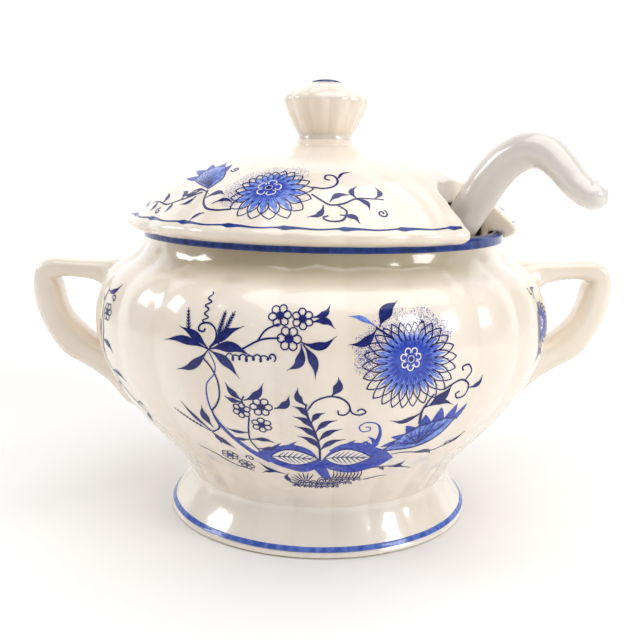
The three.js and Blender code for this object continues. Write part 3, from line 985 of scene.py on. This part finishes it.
    def blossom(self, centre, radius, tilt=0.0, petals=6):
        """A small flower: round outlined petals about a dark, ragged eye."""
        for k in range(petals):
            way = math.radians(tilt) + 2 * math.pi * k / petals
            loop = []
            for t in np.linspace(0, 2 * math.pi, 15):
                out = radius * (0.62 + 0.36 * math.cos(t))
                over = radius * 0.33 * math.sin(t)
                loop.append(swung(out, over, way))
            self.stroke(self.at(centre, loop), [0.2, 0.24, 0.2], step=0.8)
            spike = [(0, 0), (radius * 0.42 * math.cos(way), radius * 0.42 * math.sin(way))]
            self.stroke(self.at(centre, spike), [radius * 0.16, radius * 0.1, 0.05])
        self.disc(centre, radius * 0.27, "solid")

    def aster(self, centre, reach, petals=26, loops=7, heart=0.34, solid=0.56, full=0.78):
        """A great flower. reach holds its radii to the right, top, left and bottom."""
        def radius_at(way):
            turn_at = math.degrees(way) % 360
            east, north, west, south = reach
            radii = [east, (east + north) / 2 * 1.02, north, (north + west) / 2 * 1.02, west,
                     (west + south) / 2 * 1.06, south, (south + east) / 2 * 1.06, east]
            return float(np.interp(turn_at, range(0, 361, 45), radii))

        def polar(way, share):
            return (radius_at(way) * share * math.cos(way), radius_at(way) * share * math.sin(way))

        def petals_of(first, count, tip, shoulder, root, width):
            """One ring of pointed petals that touch at their shoulders."""
            spread = math.pi / count
            for k in range(count):
                way = 2 * math.pi * (k + first) / count
                for side in (-1, 1):
                    edge = [polar(way, tip),
                            polar(way + side * spread * 0.62, (shoulder + tip) / 2),
                            polar(way + side * spread, shoulder)]
                    if root:
                        edge.append(polar(way + side * spread * 0.8, root))
                    self.stroke(self.at(centre, edge), [width, width, width * 0.7], step=0.9)

        step = 2 * math.pi / petals
        fat = min(reach) * step / 3.4  # wedges as wide as the petals are
        for k in range(petals):  # the blue fan, fading outwards in wedges
            way = step * (k + 0.5)
            self.stroke(self.at(centre, [polar(way, 0.1), polar(way, full)]),
                        [0.7 * fat, 1.3 * fat, 1.5 * fat, 1.3 * fat, 0.7 * fat, 0.06], "wash")
            self.stroke(self.at(centre, [polar(way, 0.1), polar(way, solid)]),
                        [0.6 * fat, 1.0 * fat, 0.9 * fat, 0.4 * fat, 0.06], "solid")
        for k in range(petals * 3):  # hatching from the eye outwards
            way = step * k / 3 + 0.03
            long = (0.7, 0.52, 0.86)[k % 3]
            self.stroke(self.at(centre, [polar(way, 0.3), polar(way, long)]),
                        [0.3, 0.24, 0.12, 0.05], "solid", step=2.0)
        petals_of(0.0, petals, 1.0, 0.83, 0, 0.2)
        petals_of(0.5, petals, 0.85, 0.64, 0.5, 0.19)
        eye = min(reach) * heart
        self.disc(centre, eye * 0.92, "solid")
        for k in range(loops):
            way = 2 * math.pi * k / loops + 0.2
            loop = []
            for t in np.linspace(0.5, 2 * math.pi - 0.5, 11):
                out = eye * (0.74 - 0.26 * math.cos(t))
                over = eye * 1.9 / loops * math.sin(t)
                loop.append(swung(out, over, way))
            self.stroke(self.at(centre, loop), [0.22, 0.3, 0.22], "bare", step=0.8)
        ring = [(eye * 0.27 * math.cos(t), eye * 0.27 * math.sin(t))
                for t in np.linspace(0, 2 * math.pi, 13)]
        self.disc(centre, eye * 0.27, "ink")
        self.stroke(self.at(centre, ring), [0.25, 0.25], "bare", step=0.8)

    def wrap(self):
        """Turns the drawing into one film for each tone, bent onto the form."""
        films = []
        for tone, (finish, _) in TONES.items():
            if not self.points[tone]:
                continue
            places = []
            for angle, height, lift in self.points[tone]:
                spot, normal = self.spot(angle, height)
                if spot is None:
                    raise ValueError(f"{self.name}: nothing under {angle:.1f}, {height:.1f}")
                places.append(spot + normal * lift * MM)
            mesh = bpy.data.meshes.new(f"{self.name}_{tone}")
            mesh.from_pydata(places, [], self.faces[tone])
            mesh.materials.append(finish)
            mesh.shade_smooth()
            film = add_object(mesh.name, mesh)
            films.append(film)
            print(film.name, len(mesh.polygons), "faces")
        return films


print("the sheet runs", round(float(dome_run[-1]), 1), "mm up the dome")

# %% [markdown]
# ## Stippling
# A haze of fine dots surrounds each great flower. A dot repeated hundreds of times is
# work for Geometry Nodes: points scattered on the sheet carry the way that the wall
# faces there and their own size, and the tree sets one six-sided dot on each of them.


# %% Geometry Nodes tree for stippled dots
def stipple_tree():
    """The tree that sets a small flat dot on every point."""
    tree, given = new_tree("stippling", (
        ("Points", "Geometry", None),
        ("Dot Radius", "Float", 0.25 * MM),
        ("Finish", "Material", None),
    ), "Dots")
    round_dot = {"Vertices": 6, "Radius": given["Dot Radius"]}
    dot = add(tree, "GeometryNodeMeshCircle", round_dot, fill_type="NGON")
    facing = {"Vector": named(tree, "facing", "FLOAT_VECTOR")}
    aim = add(tree, "FunctionNodeAlignRotationToVector", facing, axis="Z")
    placed = add(tree, "GeometryNodeInstanceOnPoints", {
        "Points": given["Points"],
        "Instance": dot.outputs[0],
        "Rotation": aim.outputs[0],
        "Scale": named(tree, "size", "FLOAT"),
    })
    return end_tree(tree, placed.outputs[0], given["Finish"], "Dots")


STIPPLE = stipple_tree()
DOT_LIFT, DOT_SIZES = 0.04, (0.6, 1.15)  # over the glaze, and the spread in size
THINNING = 0.62  # 0.5 would spread the dots evenly
chance = np.random.default_rng(7)


def halo(name, spot, scale, clouds, radius, count):
    """Stippling in round clouds, each (angle, height, reach in mm), thinning outwards."""
    places, facings, sizes = [], [], []
    for angle, height, reach in clouds:
        for _ in range(count):
            way = chance.uniform(0, 2 * math.pi)
            far = reach * chance.uniform(0, 1) ** THINNING
            at = np.array([angle, height]) + np.array(
                [far * math.cos(way), far * math.sin(way)]
            ) / scale(angle, height)
            where, facing = spot(*at)
            if where is None:
                continue
            places.append(where + facing * DOT_LIFT * MM)
            facings += list(facing)
            sizes.append(chance.uniform(*DOT_SIZES))
    mesh = bpy.data.meshes.new(name + "_points")
    mesh.from_pydata(places, [], [])
    mesh.attributes.new("facing", "FLOAT_VECTOR", "POINT").data.foreach_set("vector", facings)
    mesh.attributes.new("size", "FLOAT", "POINT").data.foreach_set("value", sizes)
    cloud = add_object(name + "_points", mesh)
    run_tree(cloud, STIPPLE, {"Dot Radius": radius * MM, "Finish": leaf_blue})
    dots = evaluated(cloud, name)
    print(name, len(dots.polygons), "dots")
    return add_object(name, dots)


# %% [markdown]
# ## The bouquet on the bowl
# A flowering branch grows from the ground between two big leaves. A twisted stem
# climbs on the left to a whorl of slender leaves, a fern stands in the middle, and a
# great aster and a half-open flower fill the right. All of it is drawn in degrees and
# millimetres, and laid on twice: in front, and again behind.


# %% Bowl print
def bouquet(art):
    """The whole bouquet, at the sheet's present turn."""
    # The whorl of six leaves with its plumes and tendrils.
    whorl = (-23.8, 114)
    for tip_x, tip_y, width, bend in (
        (-34.7, 116, 2.1, -0.1), (-30.9, 123, 2.2, -0.08), (-31.4, 103, 2.2, 0.12),
        (-16.1, 125.8, 2.3, 0.08), (-14.2, 113.6, 2.7, 0.14), (-16.8, 103, 2.5, 0.1),
    ):
        art.leaf(whorl, (tip_x, tip_y), width, bend)
    art.feather((-22, 117), (-20.5, 132))
    art.feather((-21.4, 117), (-18.3, 132))
    art.feather((-28.4, 120), (-29.6, 131.5), 6, 2)
    art.stroke([(-23.6, 115), (-22.2, 119), (-22.4, 123), (-24.2, 125.6), (-26.2, 124.6),
                (-26.4, 122.3), (-25.2, 121.8), (-25, 123.2)], [0.22, 0.3, 0.3])
    art.squiggle((-25.2, 125.6), (-25.4, 138.6), 4, 1.35)
    art.squiggle((-19.5, 112), (-10.8, 112.6), 6, 1.7, 1.0)
    art.curl((-10, 113), 2.2, -60, 0.8)
    # The twisted stem, thickening to the ground.
    art.stroke([(-25.3, 110.3), (-23.2, 105.6), (-21.9, 100), (-21.9, 93), (-23.2, 87.5),
                (-25, 83.5)], [0.25, 0.32, 0.32])
    art.stroke([(-23.7, 113), (-22.2, 107), (-22.6, 103), (-24.6, 98), (-25.2, 92), (-25, 83.5),
                (-23.9, 76), (-21.3, 68.5), (-17.2, 60.5), (-13.5, 56)],
               [0.3, 0.3, 0.35, 0.5, 1.0, 1.6, 2.2], "solid")
    art.stroke([(-25, 83.5), (-24.6, 76.5), (-22.2, 68.6), (-18.2, 60.8)], [0.2, 0.2, 0.2])
    art.stroke([(-24.4, 77), (-24.8, 73.5), (-27.2, 70.5)], [0.3, 0.3])
    art.leaves([
        (-26.3, 73.5, -27.2, 85.5, 2.3, 0.1), (-27.2, 71, -32.6, 86, 1.3, 0.03),
        (-27.3, 70.5, -26.4, 63.5, 1.5, 0.1), (-27.2, 70.3, -22.8, 61.3, 1.8, -0.08),
    ])
    art.feather((-27.6, 71), (-36.4, 81), 8, 1.6)
    # A branch with three blossoms and willowy leaves.
    art.stroke([(-15.9, 116.2), (-12.2, 120.6), (-8.5, 121.6)], [0.3, 0.3])
    art.stroke([(-12.9, 120), (-11.4, 124.8), (-8.8, 127.6)], [0.28, 0.28])
    for x, y, radius, tilt in (
        (-8.7, 131, 5.2, 10), (-3.9, 130.2, 4.9, 35), (-6.5, 121.6, 5.6, 0),
        (-17.1, 86.3, 4.5, 20), (-12.6, 88.9, 5.2, 0), (-13.1, 79, 4.8, 30),
        (-26.1, 55.5, 4.4, 10), (-22.2, 50.2, 4.4, 40),
    ):
        art.blossom((x, y), radius, tilt)
    art.leaves([
        (-2, 131, 1.7, 136, 1.7, -0.2), (-2, 129, 2.6, 126.6, 1.8, 0.22),
        (-4, 120.4, 2.8, 122.8, 2.1, -0.2), (-4, 119.8, -6.6, 107.8, 2.4, 0.24),
        (-3.6, 119.6, -1, 104.6, 2.3, 0.12), (-16.4, 91.6, -20, 99.6, 1.8, 0.1),
        (-16.6, 91, -20.6, 92.8, 1.5, 0.1), (-16.2, 91.8, -11.8, 100.6, 2.1, -0.16),
        (-9.8, 88.4, -6.4, 95.4, 2.1, -0.2), (-16.4, 74, -22.8, 74.6, 1.3, 0.1),
        (-17, 69.6, -22, 69.6, 1.3, 0.12), (-16.6, 69.6, -11, 68.6, 1.6, 0.14),
        (-15.6, 64, -10.2, 66.8, 1.8, -0.14),
    ])
    art.stroke([(-15.6, 83), (-16.6, 75), (-16.9, 69), (-15, 61)], [0.25, 0.3])
    art.stroke([(-16.4, 89), (-16.6, 92), (-16, 94)], [0.25, 0.25])
    art.stroke([(-36, 58), (-31.5, 55.4), (-28.5, 51), (-25, 47.5), (-20.5, 46.4)],
               [0.15, 0.3, 0.15])
    art.curl((-19.4, 56), 2.6, 200, -1.1, 0.24)
    # Two big veined leaves lie along the ground.
    art.between([(-17.6, 60), (-14, 63.6), (-10, 66.4), (-6, 68), (-2.4, 65.6), (0.3, 57.4)],
                [(-17.6, 60), (-14, 55.4), (-10, 51), (-5, 49), (-1.6, 51), (0.3, 57.4)], "solid")
    art.between([(0.3, 57), (3, 64.6), (6, 69), (9.4, 70), (13.2, 67.4), (17, 64), (21, 57.6)],
                [(0.3, 57), (3, 51.6), (7, 49), (11, 49), (14.6, 51), (17.6, 52.6), (21, 57.6)],
                "solid")
    for x0, x1, y, tall in ((-13, 0.0, 59.4, 5.2), (1.4, 14.0, 60, 5.6)):
        lengths = np.linspace(0, 1, 7)
        top = [(x0 + (x1 - x0) * t, y + tall * math.sin(math.pi * t ** 0.9)) for t in lengths]
        low = [(x0 + (x1 - x0) * t, y - tall * math.sin(math.pi * t ** 0.9)) for t in lengths]
        art.between(top, low, "bare")
        art.stroke([(x0, y), ((x0 + x1) / 2, y + 0.3), (x1, y)], [0.2, 0.3, 0.15])
        art.stroke(top, [0.2, 0.25, 0.2])
        art.stroke(low, [0.2, 0.25, 0.2])
        for k in range(7):
            t = 0.16 + 0.1 * k
            base = (x0 + (x1 - x0) * t, y)
            for way in (-1, 1):
                reach = tall * 0.78 * math.sin(math.pi * (t + 0.14))
                art.stroke([base, (base[0] + 1.9, y + way * reach)], [0.26, 0.2, 0.1])
    for x, y, width in ((4.5, 66.8, 1.2), (7.5, 69.4, 1.2), (10.6, 69.2, 1.2), (13.6, 67, 1.2),
                        (16.6, 64.4, 1.1), (-10.6, 66.4, 1.1), (-6.6, 68.2, 1.1)):
        art.stroke([(x - 1.6, y - 2.4), (x + 1.2, y + 2.2)], [width, width * 0.8, 0.05], "solid")
    # The fern between them.
    art.stroke([(0.3, 58), (0, 68), (-1.4, 79), (-3, 88), (-2.8, 92)], [0.45, 0.35, 0.25])
    art.leaves([
        (0.1, 66, -5, 74, 1.9, -0.16), (-0.5, 72, -5.4, 79.6, 1.9, -0.16),
        (-1.3, 78, -5.6, 85, 1.8, -0.16), (-2.2, 84, -5.6, 90.4, 1.7, -0.16),
        (0.1, 65, 6, 72, 1.9, 0.16), (-0.2, 71, 5, 78.2, 1.9, 0.16),
        (-0.9, 76.5, 3.6, 83.4, 1.8, 0.16), (-1.8, 82, 1, 87.6, 1.7, 0.16),
        (-2.8, 91, -4.6, 99.6, 1.9, 0.2), (2.2, 96, 3.6, 105, 2.5, -0.16),
    ])
    art.stroke([(-2.7, 88.5), (-1, 93.6), (2.2, 96), (5, 94), (6.4, 89.6), (5.6, 86.4),
                (4, 86.6), (3.8, 88.8)], [0.25, 0.32, 0.25])
    art.stroke([(6.3, 90.2), (6.9, 87.2), (8.6, 86.2), (9.8, 87.8), (8.8, 89.4), (7.9, 88.2)],
               [0.25, 0.3, 0.26])
    art.stroke([(11.6, 64.5), (13.6, 69), (14, 76), (12.7, 81.2), (10.2, 82), (8.9, 79.4),
                (9.8, 76.8), (11.4, 77.4), (11.3, 79.4), (10.3, 79.4)],
               [2.1, 1.5, 0.8, 0.38, 0.32, 0.3, 0.28], "solid")
    for x, y in ((12.4, 68.4), (13.1, 71.2)):
        art.stroke([(x + 0.4, y - 1.6), (x - 0.6, y + 1), (x - 1.9, y + 2.6)],
                   [1.3, 0.9, 0.05], "solid")
    # The ground: a short trunk, a shell of ribs, blades of grass and scalloped rocks.
    art.stroke([(0.3, 57.6), (0.1, 54), (1.1, 50), (3, 44)], [0.8, 3, 2.6, 1.7], "solid")
    for k in range(9):
        way = math.radians(200 - 17 * k)
        art.stroke([(-4 + reach * math.cos(way), 40.4 + 1.5 * reach * math.sin(way))
                    for reach in (1.6, 3.6, 5.6)], [0.12, 0.28, 0.1])
        blade = 4.2 + 1.05 * k
        art.stroke([(blade, 44.4), (blade + 0.5, 47.4), (blade + 0.2, 50.2)], [0.3, 0.24, 0.1])
    for first, last, y in ((1.0, 13.0, 42.6), (-5.4, 11.0, 40.0), (-7.4, 7.0, 37.4)):
        for x in np.arange(first, last, 1.9):
            size, rise = chance.uniform(1.0, 1.5), chance.uniform(1.8, 2.9)
            for share in (1, 0.5):
                art.stroke([(x + size * share * math.cos(t), y + rise * share * math.sin(t))
                            for t in np.linspace(-0.2, math.pi + 0.2, 9)],
                           [0.12, 0.24, 0.12], step=0.9)
            art.stroke([(x - 0.9, y), (x, y + 0.8), (x + 0.9, y + 0.6)], [0.1, 0.3, 0.1], "solid")
    art.leaves([(-10.6, 46.6, -17, 53.4, 1.3, 0.14), (-12.6, 47.6, -17.6, 46.2, 1.2, -0.12)])
    art.leaves([(-8.6, 39.4, -9.4, 47, 1.5, 0.2)])
    art.stroke([(14.6, 43), (18.6, 44), (22.6, 44.2)], [0.3, 0.22, 0.08])
    # The great aster, with three leaves behind its haze.
    art.aster((18.5, 112.6), (23.0, 15.4, 22.4, 23.6), 27)
    art.leaves([(11.8, 127, 16.4, 137.4, 3.3, 0.14), (11.3, 126.6, 5.6, 119.4, 2.1, 0.18)])
    art.leaves([(11, 127.4, 5.6, 131.4, 1.4, -0.1)], "wash")
    art.stroke([(11, 127.2), (12.5, 125), (14.4, 122.6)], [0.3, 0.3])
    # The half-open flower, its crown of dark sepals and its scrolls.
    brow = [(16.4, 63.8), (20, 71.6), (23.7, 77.4), (28.4, 80.4), (33.6, 79.6)]
    throat = [(16.4, 63.8), (23, 63.6), (27.6, 66), (31, 70.6), (33.6, 79.6)]
    art.between(brow, throat, "wash")
    edge_x, edge_y = zip(*brow)
    for k in range(40):
        place = 0.1 + 3.8 * k / 39
        east = np.interp(place, range(5), edge_x) - 25.6
        north = np.interp(place, range(5), edge_y) - 66.6
        first, last = (0.02, 0.94) if k % 8 == 4 else (0.1 + 0.2 * (k % 3), 0.62 + 0.14 * (k % 3))
        art.stroke([(25.6 + first * east, 66.6 + first * north),
                    (25.6 + last * east, 66.6 + last * north)],
                   [0.3, 0.24, 0.12], None if k % 8 == 4 else "solid", step=2.0)
    art.stroke(brow, [0.25, 0.35, 0.25])
    art.stroke(throat, [0.3, 0.4, 0.3])
    for x0, y0, x1, y1, width in (
        (19, 68.4, 15.2, 66.6, 1.8), (20.4, 71.4, 17.2, 72.4, 1.9), (22.4, 74.6, 20.2, 78.4, 2.3),
        (25, 77.4, 24.2, 84, 2.8), (28, 79, 27.6, 87.4, 2.9), (31, 79.6, 32, 88, 2.8),
        (33.2, 79.2, 35.6, 86.8, 2.2),
    ):
        art.stroke([(x0, y0), ((x0 + x1) / 2, (y0 + y1) / 2), (x1, y1)],
                   [width * 1.2, width, width * 0.6, 0.05], "solid")
    art.stroke([(23.4, 79), (23, 86), (23.8, 91), (24.8, 95)], [0.5, 0.35, 0.25])
    art.leaves([
        (23.2, 85.8, 15.8, 82.4, 1.6, 0.2), (23.4, 88.4, 30.4, 88.2, 1.5, 0.16),
        (23.4, 88, 28.8, 98.6, 3.1, -0.1), (34.2, 95.6, 37.6, 100.8, 1.4, -0.3),
        (26, 60.4, 33.4, 56.6, 1.7, 0.16), (36.6, 60.6, 40.6, 67.6, 1.4, -0.1),
        (17, 52.4, 20.4, 48.2, 1.3, 0.1), (21.6, 50.6, 26.8, 49.2, 1.5, 0.14),
        (22, 51, 25.6, 54.4, 1.2, -0.2),
    ])
    art.stroke([(26.8, 96.8), (31, 100.6), (33.8, 97), (33.4, 92), (31, 91.4), (30.4, 93.8),
                (31.4, 94.6)], [0.3, 0.34, 0.3])
    art.stroke([(32.2, 100), (33.8, 104), (32.6, 107.6), (30.9, 106.8), (31.2, 105)],
               [0.25, 0.3, 0.3])
    art.stroke([(19.6, 60.4), (24, 61), (30.5, 59), (37, 60.6), (41, 68.4)], [0.2, 0.26, 0.15])
    art.curl((37.4, 62), 2.4, 0, 0.9, 0.22)
    art.stroke([(14, 52), (20, 51.4), (27, 49.4), (30, 47.6)], [0.2, 0.25, 0.12])


def side_spray(art, middle):
    """The slim spray beside a handle: a vine with two small asters."""
    art.stroke([(middle, 132), (middle - 1.5, 124), (middle + 1, 112), (middle - 1, 100),
                (middle + 1.5, 88), (middle + 5, 76), (middle + 10, 64)], [0.2, 0.35, 0.3, 0.15])
    art.blossom((middle + 2.6, 121), 4.6)
    art.blossom((middle - 2.8, 111), 4.2, 20)
    art.leaves([
        (middle + root, y0, middle + tip, y1, width, bend) for root, y0, tip, y1, width, bend in (
            (0, 131, 5.4, 135, 1.7, -0.2), (-1, 126, -5.4, 130, 1.6, 0.2),
            (0, 106, 5, 101, 1.8, 0.16), (-0.8, 100, -5.6, 94.6, 1.8, -0.16),
            (1, 90, 6.6, 86.4, 1.6, 0.16), (2.6, 84, -2, 77, 1.6, -0.1),
            (6, 74, 11, 73.4, 1.5, 0.14), (8, 69, 5.6, 61.6, 1.5, -0.1),
        )
    ])
    art.curl((middle + 4.4, 128), 2.2, 180, -1.0, 0.24)
    art.curl((middle - 4.6, 102.6), 2.2, 40, 1.0, 0.24)


bowl_art = Print("bowl_print", wall_spot, wall_scale)
BOWL_TURNS = (0, 180)
for bowl_art.turn in BOWL_TURNS:
    bouquet(bowl_art)
    side_spray(bowl_art, -62)
    bowl_art.aster((66, 117), (13, 11, 12.5, 13.5), 20)
    bowl_art.leaves([(63, 129, 68, 135, 1.7, 0.2), (68, 104, 63, 97, 1.8, 0.2),
                     (64.5, 104, 69.5, 98, 1.8, 0.1)])
    bowl_art.squiggle((64, 129), (59.6, 136), 3, 1.2)
bowl_films = bowl_art.wrap()
bowl_haze = halo(
    "bowl_stipple",
    wall_spot,
    wall_scale,
    [(x + turn, y, reach) for turn in BOWL_TURNS for x, y, reach in
     ((9.6, 111, 6.5), (9.4, 118, 7), (12.6, 124, 7.5), (17, 128, 8), (21.6, 128.4, 7),
      (25.4, 124.6, 6))],
    0.2,
    380,
)

# %% [markdown]
# ## The sprays on the lid
# The lid repeats the aster with a scrolling spray on each side. It is laid on three
# times round the dome, clear of the notch.


# %% Lid print
def lid_spray(art):
    """One aster with its sprays, centred on the sheet's zero."""
    art.aster((0, 31), (21.5, 14.2, 15.5, 22), 19, 5, 0.42, 0.36, 0.86)
    art.leaves([
        (19.4, 22, 25.6, 27.8, 1.7, 0.24), (17.6, 19.6, 13.6, 11.8, 1.7, 0.3),
        (27.4, 24.8, 28.2, 33.6, 1.5, 0.3), (33, 24.6, 34.4, 33, 1.5, -0.28),
        (27, 24.4, 30.4, 16.6, 1.5, 0.24), (22, 14.4, 27, 8.6, 1.5, 0.26),
        (-16, 17.8, -9, 19.6, 1.2, 0.2), (-20.6, 22.6, -13.8, 24.4, 1.8, 0.24),
        (-16.4, 11.6, -20, 6.4, 1.3, -0.2), (-24.8, 22.4, -28.2, 15.4, 1.3, 0.2),
    ])
    art.stroke([(14, 27), (17, 22.6), (19.6, 20), (23.4, 22), (27, 24.6), (30.6, 24.2),
                (35.6, 24)], [0.3, 0.36, 0.2])
    art.stroke([(14, 32.4), (17.6, 31.4), (21, 34), (22.4, 39), (21, 43), (18.4, 42.8),
                (18, 39.6), (19.6, 38.6)], [0.3, 0.36, 0.3])
    art.stroke([(21.6, 20.6), (24, 17), (22.6, 11.2), (19, 9.6), (17.6, 11.4), (19, 12.8)],
               [0.3, 0.34, 0.26])
    art.curl((33.6, 14.6), 2.7, 60, -1.2, 0.3)
    art.stroke([(22.6, 41), (24.6, 45.6), (27.6, 46.4)], [0.3, 0.5, 0.1])
    # The bud on the left, on its vine.
    art.stroke([(-8.6, 15.6), (-12.4, 13.6), (-16.4, 14.4), (-20, 19.6), (-22.4, 28)],
               [0.3, 0.4, 0.3])
    cheek = [(-22.6, 29), (-21.4, 38), (-25, 45.6), (-31, 50), (-38, 46.5)]
    jaw = [(-22.6, 29), (-30, 32), (-36.6, 37), (-38, 46.5)]
    art.between(cheek, jaw, "wash")
    for x0, y0, x1, y1 in (
        (-25.4, 44, -26.2, 52), (-30.6, 48, -33.4, 55), (-35.6, 46, -41, 51),
        (-37.4, 42, -45, 43), (-36, 37, -43, 35),
    ):
        art.stroke([(x0, y0), ((x0 + x1) / 2, (y0 + y1) / 2), (x1, y1)], [2.4, 2, 1.2, 0.05],
                   "solid")
    for k in range(11):
        share = k / 10
        end = (-23.2 - 14.4 * math.sin(share * 1.5), 42.6 + 5 * math.sin(share * 3) - 6 * share)
        art.stroke([(-23, 30), ((end[0] - 24) / 2, (end[1] + 30) / 2), end], [0.1, 0.18, 0.08])
    art.stroke(cheek, [0.2, 0.24, 0.2])
    art.stroke(jaw, [0.2, 0.24, 0.2])
    art.leaves([(-25, 27.4, -31.4, 22.4, 1.4, 0.2), (-22.6, 27, -28.4, 24.4, 1.0, -0.2)])
    art.curl((-20.4, 47), 2.4, 200, 1.1, 0.3)
    art.stroke([(-23.6, 26), (-29, 19.4), (-36, 16), (-43, 15.6), (-49, 12)], [0.3, 0.34, 0.15])
    art.leaves([
        (-30, 19, -33.6, 25.4, 1.8, -0.24), (-33.4, 17, -33, 9.8, 1.8, 0.24),
        (-39, 15.8, -41.4, 22.4, 1.7, -0.2), (-42.6, 15.4, -41.6, 8.8, 1.7, 0.2),
        (-48, 12.6, -53, 16.6, 1.5, 0.2),
    ])
    art.curl((-37.4, 10.8), 2.2, 90, 1.0, 0.26)


lid_art = Print("lid_print", dome_spot, dome_scale)
LID_TURNS = (-17.8, 125, 231)
for lid_art.turn in LID_TURNS:
    lid_spray(lid_art)
lid_films = lid_art.wrap()
lid_haze = halo(
    "lid_stipple",
    dome_spot,
    dome_scale,
    [(x + turn, y, reach) for turn in LID_TURNS for x, y, reach in
     ((-10.5, 22, 5.5), (-11, 31, 7), (-7.6, 38.6, 7), (-1, 43.4, 7), (7, 44, 7))],
    0.2,
    260,
)

# %% [markdown]
# ## The line on the lid
# A brush loaded with blue was run round the lid on a wheel. It skims the middle of each
# scallop and digs in at the crease between two, so the line is thin, then thick. It
# follows the dome, so it is laid on the sheet as a strip whose edges are worked out
# from the angle.

# %% Lid line
line_art = Print("lid_line", dome_spot, dome_scale)
turns = np.arange(NOTCH_TO + 1.6, 360 + NOTCH_FROM - 1.6, 0.75)
crease_at = np.abs(np.cos(np.radians((turns - CREASE_TURN) * RIBS / 2)))
after = (turns - 3.6) % (360 / RIBS)  # degrees since the brush dug in
dab = 0.52 + 0.95 * np.clip(after / 1.5, 0, 1) * np.exp(-np.clip(after - 1.5, 0, 15) / 2.6)
course = 3.7 + 2.3 * crease_at ** 2
line_art.strip(np.stack([turns, course - dab], 1)[::-1], np.stack([turns, course + dab], 1)[::-1],
               "wash", 2)
lid_line = line_art.wrap()[0]
lid_line.name = "lid_line"
lid_line.data.materials[0] = band_blue

# %% [markdown]
# ## Floor and light
# The tureen stands on a plain white table in a bright room: a broad soft light from
# the front and above, smaller panes at both sides that the glaze mirrors as pale
# patches, and white light all round.

# %% Floor and lights
def pane(name, at, towards, size, watts):
    """A soft rectangular light."""
    light = bpy.data.lights.new(name, "AREA")
    light.shape = "RECTANGLE"
    light.size, light.size_y = size
    light.energy = watts
    lamp = bpy.data.objects.new(name, light)
    lamp.location = at
    lamp.rotation_euler = (Vector(towards) - Vector(at)).to_track_quat("-Z", "Y").to_euler()
    bpy.context.scene.collection.objects.link(lamp)
    return lamp


def pale_floor():
    """A wide, plain, white sheet, swept up behind into a backdrop that glows a little."""
    material, tree, place = new_material("pale_matt_floor")
    depth = add(tree, "ShaderNodeSeparateXYZ", {"Vector": place}).outputs["Y"]
    limits = {"Value": depth, "From Min": 0.25, "From Max": 2.2, "To Min": 0.0, "To Max": 0.72}
    surfaced(material, {
        "Base Color": srgb("F6F5F3"),
        "Roughness": 0.9,
        "Specular IOR Level": 0.2,
        "Emission Color": srgb("FFFFFF"),
        "Emission Strength": add(tree, "ShaderNodeMapRange", limits).outputs["Result"],
    })
    near, bend, far, tall = -6.0, 1.6, 3.1, 5.0
    rise = far - bend
    line = [(near, 0.0), (0.0, 0.0)]
    for k in range(25):
        at = math.pi / 2 * k / 24
        line.append((bend + rise * math.sin(at), rise * (1 - math.cos(at))))
    line.append((far, tall))
    side = 6.0
    places = [(x, y, z) for y, z in line for x in (-side, side)]
    faces = [(2 * i, 2 * i + 1, 2 * i + 3, 2 * i + 2) for i in range(len(line) - 1)]
    mesh = bpy.data.meshes.new("floor")
    mesh.from_pydata(places, [], faces)
    mesh.shade_smooth()
    mesh.materials.append(material)
    floor = add_object("floor", mesh)
    return floor


pale_floor()
MIDDLE = (0, 0, 0.12)
pane("top_pane", (0.2, -0.25, 1.35), MIDDLE, (1.7, 1.3), 13.2)
pane("right_pane", (1.15, -0.62, 0.62), MIDDLE, (0.5, 0.5), 7)
pane("left_pane", (-1.35, -0.05, 0.8), MIDDLE, (0.5, 0.5), 7)
world = bpy.data.worlds.new("white_room")
world.use_nodes = True
world.node_tree.nodes["Background"].inputs["Color"].default_value = srgb("F7F8FF")
world.node_tree.nodes["Background"].inputs["Strength"].default_value = 0.275
bpy.context.scene.world = world
bpy.context.scene.view_settings.view_transform = "Standard"
print("floor and lights set")

# %% [markdown]
# ## Joining the frame
# Each piece now rides on the body that it moves with and stands for its CAD node.

# %% Ride and replace
for piece, body_name, node, slot in (
    (bowl, "tureen", "bowl", "ivory_glaze"),
    (foot, "tureen", "foot", "ivory_glaze"),
    (foot_ring, "tureen", None, "ivory_glaze"),
    (handle_right, "tureen", "handle_right", "ivory_glaze"),
    (handle_left, "tureen", "handle_left", "ivory_glaze"),
    (rim_band, "tureen", None, "ivory_glaze"),
    (foot_band, "tureen", None, "ivory_glaze"),
    (lid, "lid", "lid", "ivory_glaze"),
    (knob, "lid", "lid_knob", "ivory_glaze"),
    (knob_cap, "lid", None, "ivory_glaze"),
    (cup, "ladle", "ladle_bowl", "white_glaze"),
    (arm, "ladle", "ladle_handle", "white_glaze"),
    *((film, "tureen", None, "ivory_glaze") for film in (*bowl_films, bowl_haze)),
    *((film, "lid", None, "ivory_glaze") for film in (*lid_films, lid_haze, lid_line)),
):
    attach(piece, body_name)
    if node:
        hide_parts(node)
print("every piece rides on its body")
